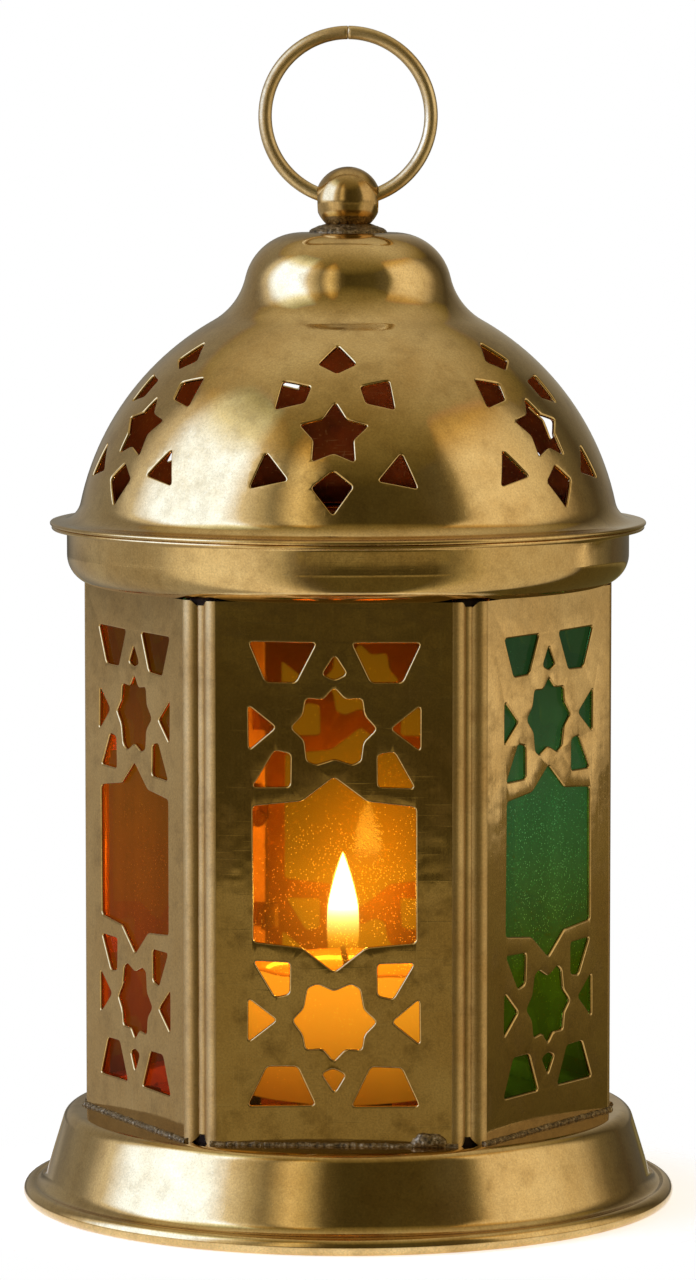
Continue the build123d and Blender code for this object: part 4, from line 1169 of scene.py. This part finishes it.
def makeCandle():
    sizes = candleSizes
    low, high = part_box("candle")
    bottom, top = low.z / mm, high.z / mm
    recessTop, poolTop = bottom + sizes["recessDepth"], top - sizes["poolDepth"]
    profile = [(0.0, recessTop), (sizes["recess"], recessTop), (sizes["recess"], bottom)]
    profile += [(sizes["radius"] - sizes["bevel"], bottom), (sizes["radius"], bottom + sizes["bevel"])]
    sideFoot, sideRise = bottom + sizes["bevel"], top - bottom - 2.0
    profile += [(sizes["radius"], sideFoot + sideRise * index / 12) for index in range(1, 12)]
    profile += arcPoints((sizes["radius"] - sizes["edge"], top - sizes["edge"]), sizes["edge"], 0, 90, 15)
    profile += arcPoints((sizes["pool"] + 0.9, poolTop), sizes["poolDepth"] - 0.05, 110, 180, 15)
    profile += [(sizes["pool"] - 3.0, poolTop), (8.0, poolTop - 0.1), (0.0, poolTop)]

    def melted(spot):
        radius = math.hypot(spot[0], spot[1])
        share = max(0.0, min(1.0, (spot[2] - bottom - 18) / 14)) * (radius > 15)
        sag = 0.5 + noise.noise(Vector((spot[0] * 0.12, spot[1] * 0.12, 4.0)))
        return (spot[0], spot[1], spot[2] - 0.5 * share * sag)

    piece = turnedPiece("poured_candle", profile, 50, paraffinWax, meltedWax, steps=120, place=melted)
    for polygon in piece.data.polygons:
        upward = polygon.normal.z > 0.5 and polygon.center.z > (bottom + top) / 2 * mm
        polygon.material_index = 1 if upward else 0
    return piece


def sweepTube(path, radii, around=14):
    points, faces = [], []
    for index, spot in enumerate(path):
        ahead = (Vector(path[min(index + 1, len(path) - 1)]) - Vector(path[max(index - 1, 0)])).normalized()
        across = ahead.cross(Vector((0.2, 1, 0.1))).normalized()
        up = across.cross(ahead)
        for step in range(around):
            swing = 2 * math.pi * step / around
            ridge = 1 + 0.14 * math.sin(3 * swing + index * 0.9)
            out = across * math.cos(swing) + up * math.sin(swing)
            points.append(tuple(Vector(spot) + out * radii[index] * ridge))
    joinRows(faces, 0, len(path), around)
    faces.append(tuple(range(around)))
    faces.append(tuple(range(len(points) - around, len(points))))
    return points, faces


def makeWickPiece():
    low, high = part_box("wick")
    bottom, top = low.z / mm, high.z / mm
    path, radii = [], []
    bend, (leanAcross, leanOut) = candleSizes["wickBend"], candleSizes["wickLean"]
    count = 26
    for index in range(count + 1):
        share = index / count
        lean = max(0.0, share - bend) / (1 - bend)
        path.append((-leanAcross * lean ** 1.6, -leanOut * lean, bottom + (top - bottom) * share))
        radii.append(candleSizes["wick"] * (0.95 - 0.35 * lean ** 3))
    return makePiece("burnt_wick", *sweepTube(path, radii), 60, charredWick)


def makeFlamePiece():
    knots = candleSizes["flame"]
    profile = [(0.0, knots[0][1])]
    for start, end in zip(knots, knots[1:]):
        profile += runPoints(start, end, 3)
    profile.append(knots[-1])

    def leaning(spot):
        across, out = candleSizes["flameLean"]
        return (spot[0] - across, spot[1] * candleSizes["flameFlat"] - out, spot[2])

    return turnedPiece("flame", profile, 80, flameLight, steps=48, place=leaning)


finishPiece(makeCandle(), "candle", "wax", "candle")
finishPiece(makeWickPiece(), "candle", "wick", "wick")
finishPiece(makeFlamePiece(), "candle", "wax")
print("stage: candle")


# Nodes that keep their CAD shape get the same finishes
carried = (
    (sheetBrass, ["candle_cup", "glass_clips", "door_glass_clips", "frame_hinge_leaves", "door_hinge_leaves",
                  "latch_tongue"]),
    (turnedBrass, ["hinge_pins", "frame_hinge_rivets", "door_hinge_rivets", "cup_rivet", "latch_knob",
                   "finial_washer"]),
    (softSolder, ["collar_solder", "corner_solder"]),
    (tinplate, ["wick_sustainer"]),
)
for material, nodes in carried:
    for node in nodes:
        shape = frame["nodes"][node]
        shape.data.materials.clear()
        shape.data.materials.append(material)
print("stage: carried nodes")


# Studio: pale floor that fades into a white surround, a tent that lights the lantern, and the flame's light
stageSizes = {"floor": 0.11, "floorClear": 0.079, "floorLevel": 0.66, "floorDrop": 0.2, "tent": 3.0}
lampSizes = {"energy": 0.5, "radius": 4 * mm, "rise": 6 * mm}


def seenRays(add):
    # One for rays that the camera, the metal or the glass sends out, and none for those that gather light
    ray = add("LightPath").outputs
    seen = add("Math", (ray["Is Camera Ray"], ray["Is Glossy Ray"]), operation="MAXIMUM")
    return add("Math", (seen, ray["Is Transmission Ray"]), operation="MAXIMUM")


def setSurface(surface, node):
    # Puts a shader of its own in the place of the plain surface
    tree = surface.id_data
    tree.nodes.remove(surface)
    setInputs(tree.nodes["Material Output"], {"Surface": node})


def makeFloor():
    material, add, surface, place = startMaterial("paleFloorPainted")
    level = add("Math", (seenRays(add), stageSizes["floorLevel"]), operation="MULTIPLY")
    paint = add("BsdfDiffuse", {"Color": "#F4F3F0"})
    pale = add("Emission", {"Color": "#FFFFFF", "Strength": level})
    both = add("AddShader", (paint, pale))
    clear = add("BsdfTransparent")
    reach = add("VectorMath", {0: place}, operation="LENGTH")
    fade = add("MapRange", (reach.outputs["Value"], stageSizes["floorClear"], stageSizes["floor"]),
               interpolation_type="SMOOTHSTEP")
    setSurface(surface, add("MixShader", (fade, both, clear)))
    drop = -stageSizes["floorDrop"]
    disc = [(0.0, drop), (stageSizes["floor"] / mm * 1.02, drop)]
    floor = turnedPiece("floor", disc, 40, material, steps=96)


# Brightness round the lantern, in degrees from the camera's side: on the table, at its edge and above it
tableRing = ((-180, 0.18, "#FFF6E0"), (-166, 0.22, "#FFF6E0"), (-150, 0.42, "#FFF8E8"),
             (-118, 0.46, "#FFF8EC"), (-98, 0.42, "#FFF8EC"), (-82, 0.50, "#FFF8EC"), (-72, 0.85, "#FFF8EC"),
             (-62, 1.0, "#FFF8EC"), (-40, 1.0, "#FFF8EC"), (-28, 0.60, "#FFF4D8"), (-18, 0.14, "#FFEEC0"),
             (-10, 0.065, "#FFEA9A"), (35, 0.08, "#FFEA9A"), (44, 0.30, "#FFEEB8"), (52, 0.60, "#FFF0C4"),
             (60, 0.72, "#FFF0D0"), (104, 0.66, "#FFF2D8"), (109, 0.92, "#FFF2D8"), (111.5, 1.06, "#FFF2D8"),
             (113.6, 1.0, "#FFF2D8"), (114.6, 0.78, "#FFF2D8"), (115.4, 0.65, "#FFF0D0"),
             (116.6, 0.55, "#FFF0D0"), (122, 0.24, "#FFEEC0"), (136, 0.11, "#FFEEC0"), (160, 0.12, "#FFF6E0"),
             (180, 0.18, "#FFF6E0"))
lowRing = ((-180, 0.18, "#FFF6E0"), (-166, 0.22, "#FFF6E0"), (-150, 0.48, "#FFF8E8"), (-135, 0.50, "#FFF8E8"),
           (-118, 0.50, "#FFF8EC"), (-110, 0.66, "#FFFAF0"), (-102, 0.97, "#FFFEFA"), (-89, 1.08, "#FFFEFA"),
           (-67, 0.88, "#FFFCF2"), (-57, 0.61, "#FFF8E4"), (-48, 0.43, "#FFF4D8"), (-38, 0.32, "#FFF0CC"),
           (-29, 0.33, "#FFF0CC"), (-21, 0.18, "#FFEEC0"), (-12, 0.09, "#FFEAA8"), (-4, 0.06, "#FFEA9A"),
           (35, 0.08, "#FFEA9A"), (45, 0.17, "#FFEEB8"), (52, 0.28, "#FFF0C4"), (59, 0.43, "#FFF0D0"),
           (69, 0.62, "#FFF2D8"), (104, 0.60, "#FFF2D8"), (111, 0.68, "#FFF2D8"), (116, 0.56, "#FFF0D0"),
           (122, 0.24, "#FFEEC0"), (136, 0.11, "#FFEEC0"), (160, 0.12, "#FFF6E0"), (180, 0.18, "#FFF6E0"))
highRing = ((-180, 0.42, "#FFF6E0"), (-160, 0.66, "#FFF8E8"), (-126, 0.60, "#FFF8EC"),
            (-107, 0.95, "#F6F8FF"), (-93, 4.5, "#A2BCFF"), (-58, 4.7, "#A2BCFF"), (-48, 1.05, "#FAFAFF"),
            (-40, 0.62, "#FFF8E4"), (-33, 0.30, "#FFF4D8"), (-28, 0.62, "#FFF0CC"), (-23, 1.0, "#FFF0CC"),
            (-18, 0.74, "#FFEEC0"), (-14, 0.44, "#FFEEC0"), (-9, 0.13, "#FFEAA8"), (-2, 0.075, "#FFEA9A"),
            (30, 0.10, "#FFEA9A"), (42, 0.13, "#FFEEB8"), (48, 0.16, "#FFEEB8"), (52, 0.36, "#FFF0C4"),
            (56, 0.84, "#FFF2D8"), (61, 1.02, "#FFF4E0"), (72, 1.07, "#FFF4E0"), (85, 1.0, "#FFF4E0"),
            (95, 0.86, "#FFF2D8"), (105, 0.72, "#FFF2D8"), (112, 0.42, "#FFF0D0"), (119, 0.20, "#FFEEC0"),
            (136, 0.09, "#FFEEC0"), (180, 0.42, "#FFF6E0"))
ringPeak = 5.0


def ringStops(ring):
    stops = []
    for turnDeg, level, colour in ring:
        shares = [channel * level / ringPeak for channel in hexColour(colour)[:3]]
        stops.append(((turnDeg + 180) / 360, shares + [1.0]))
    return stops


def makeTent():
    material, add, surface, place = startMaterial("darkTentCloth")
    parts = add("SeparateXYZ", {"Vector": place})
    forward = add("Math", (parts.outputs[1], -1.0), operation="MULTIPLY")
    side = add("Math", (parts, forward), operation="ARCTAN2")
    rise = add("Math", (parts.outputs[2], stageSizes["tent"]), operation="DIVIDE")
    lift = add("MapRange", (rise, -0.2, 0.2))
    # Degrees round the lantern from the camera's side, to the right above zero
    start, end = (math.radians(cameraSizes["turnDeg"] + half) for half in (-180, 180))
    turn = add("MapRange", (side, start, end))
    turnDeg = add("MapRange", (side, start, end, -180.0, 180.0))
    toRight = add("MapRange", (turnDeg, 36.0, 50.0), interpolation_type="SMOOTHSTEP")
    table, low, high = (add("ValToRGB", {"Fac": turn}, ringStops(ring))
                        for ring in (tableRing, lowRing, highRing))
    off = add("MapRange", (lift, 0.37, 0.41))
    near = add("Mix", {"Factor": off, 6: table, 7: low}, data_type="RGBA").outputs[2]
    up = add("MapRange", (rise, -0.02, 0.10), interpolation_type="SMOOTHSTEP")
    ring = add("Mix", {"Factor": up, 6: near, 7: high}, data_type="RGBA").outputs[2]
    topFade = add("ValToRGB", {"Fac": rise}, stops=[(0.66, [1.0, 1.0, 1.0, 1.0]),
        (0.77, [0.75, 0.62, 0.36, 1.0]), (0.87, [0.36, 0.28, 0.12, 1.0]), (0.96, [0.0, 0.0, 0.0, 1.0])])
    faded = add("VectorMath", (ring, topFade), operation="MULTIPLY")
    tilt = add("MapRange", (turnDeg, 113.6, 115.6, 0.0, -0.044))
    lean = add("Math", (lift, tilt), operation="ADD")
    tableEdge = add("MapRange", (lean, 0.264, 0.290), interpolation_type="SMOOTHSTEP")
    farRight = add("MapRange", (turnDeg, 103.0, 111.0))
    farLeft = add("MapRange", (turnDeg, -110.0, -120.0))
    shade = add("MapRange", (lift, 0.36, 0.43, 1.0, 0.5))
    leftEdge = add("Mix", {"Factor": farLeft, 2: 1.0, 3: shade}, data_type="FLOAT")
    edge = add("Mix", {"Factor": farRight, 2: leftEdge, 3: tableEdge}, data_type="FLOAT")
    ringLevel = add("Math", (edge, ringPeak), operation="MULTIPLY")
    ringLight = add("VectorMath", {0: faded, 3: ringLevel}, operation="SCALE")
    # Table top below its edge, dark room above it, and a pale ceiling
    front = add("ValToRGB", {"Fac": lift}, stops=[(0.0, 0.13), (0.08, 0.31), (0.242, 0.30), (0.257, 0.072),
        (0.36, 0.072), (0.40, 0.12), (0.425, 0.07), (1.0, 0.06)])
    right = add("ValToRGB", {"Fac": lift}, stops=[(0.10, 0.11), (0.16, 0.15), (0.28, 0.23), (0.31, 0.12),
        (1.0, 0.10)])
    around = add("Mix", {"Factor": toRight, 2: front, 3: right}, data_type="FLOAT")
    back = add("Math", (parts.outputs[1], stageSizes["tent"]), operation="DIVIDE")
    roof = add("MapRange", (back, -0.45, 0.2, 0.31, 0.64))
    above = add("MapRange", (rise, 0.40, 0.96, 0.0, roof), interpolation_type="SMOOTHSTEP")
    level = add("Math", (around, above), operation="MAXIMUM")
    tone = add("ValToRGB", {"Fac": level}, stops=[(0.05, "#FFE88A"), (0.27, "#FFEAA6"), (0.5, "#FFF2D0"),
        (1.0, "#FFFFFF")])
    roomLight = add("VectorMath", {0: tone, 3: level}, operation="SCALE")
    light = add("VectorMath", (ringLight, roomLight), operation="MAXIMUM")
    setSurface(surface, add("Emission", {"Color": light, "Strength": 1.0}))
    tent = turnedPiece("tent", ballProfile(stageSizes["tent"] / mm, 6), 40, material, steps=60)
    tent.visible_camera = False


def makeWorld():
    world = bpy.data.worlds.new("whiteSurround")
    world.use_nodes = True
    world.node_tree.nodes.clear()
    add = partial(addNode, world.node_tree)
    back = add("Background", {"Color": "#FFFFFF", "Strength": seenRays(add)})
    add("OutputWorld", {"Surface": back})
    bpy.context.scene.world = world


makeFloor()
makeTent()
makeWorld()
flameLamp = bpy.data.lights.new("flameLamp", "POINT")
flameLamp.energy = lampSizes["energy"]
flameLamp.color = hexColour("#FFC080")[:3]
flameLamp.shadow_soft_size = lampSizes["radius"]
flameGlow = bpy.data.objects.new("flameLamp", flameLamp)
flameGlow.visible_camera = flameGlow.visible_transmission = flameGlow.visible_glossy = False
flameGlow.location = flamePlace + Vector((0, 0, lampSizes["rise"]))
bpy.context.scene.collection.objects.link(flameGlow)
bpy.context.scene.view_settings.view_transform = "Standard"
print("stage: studio")
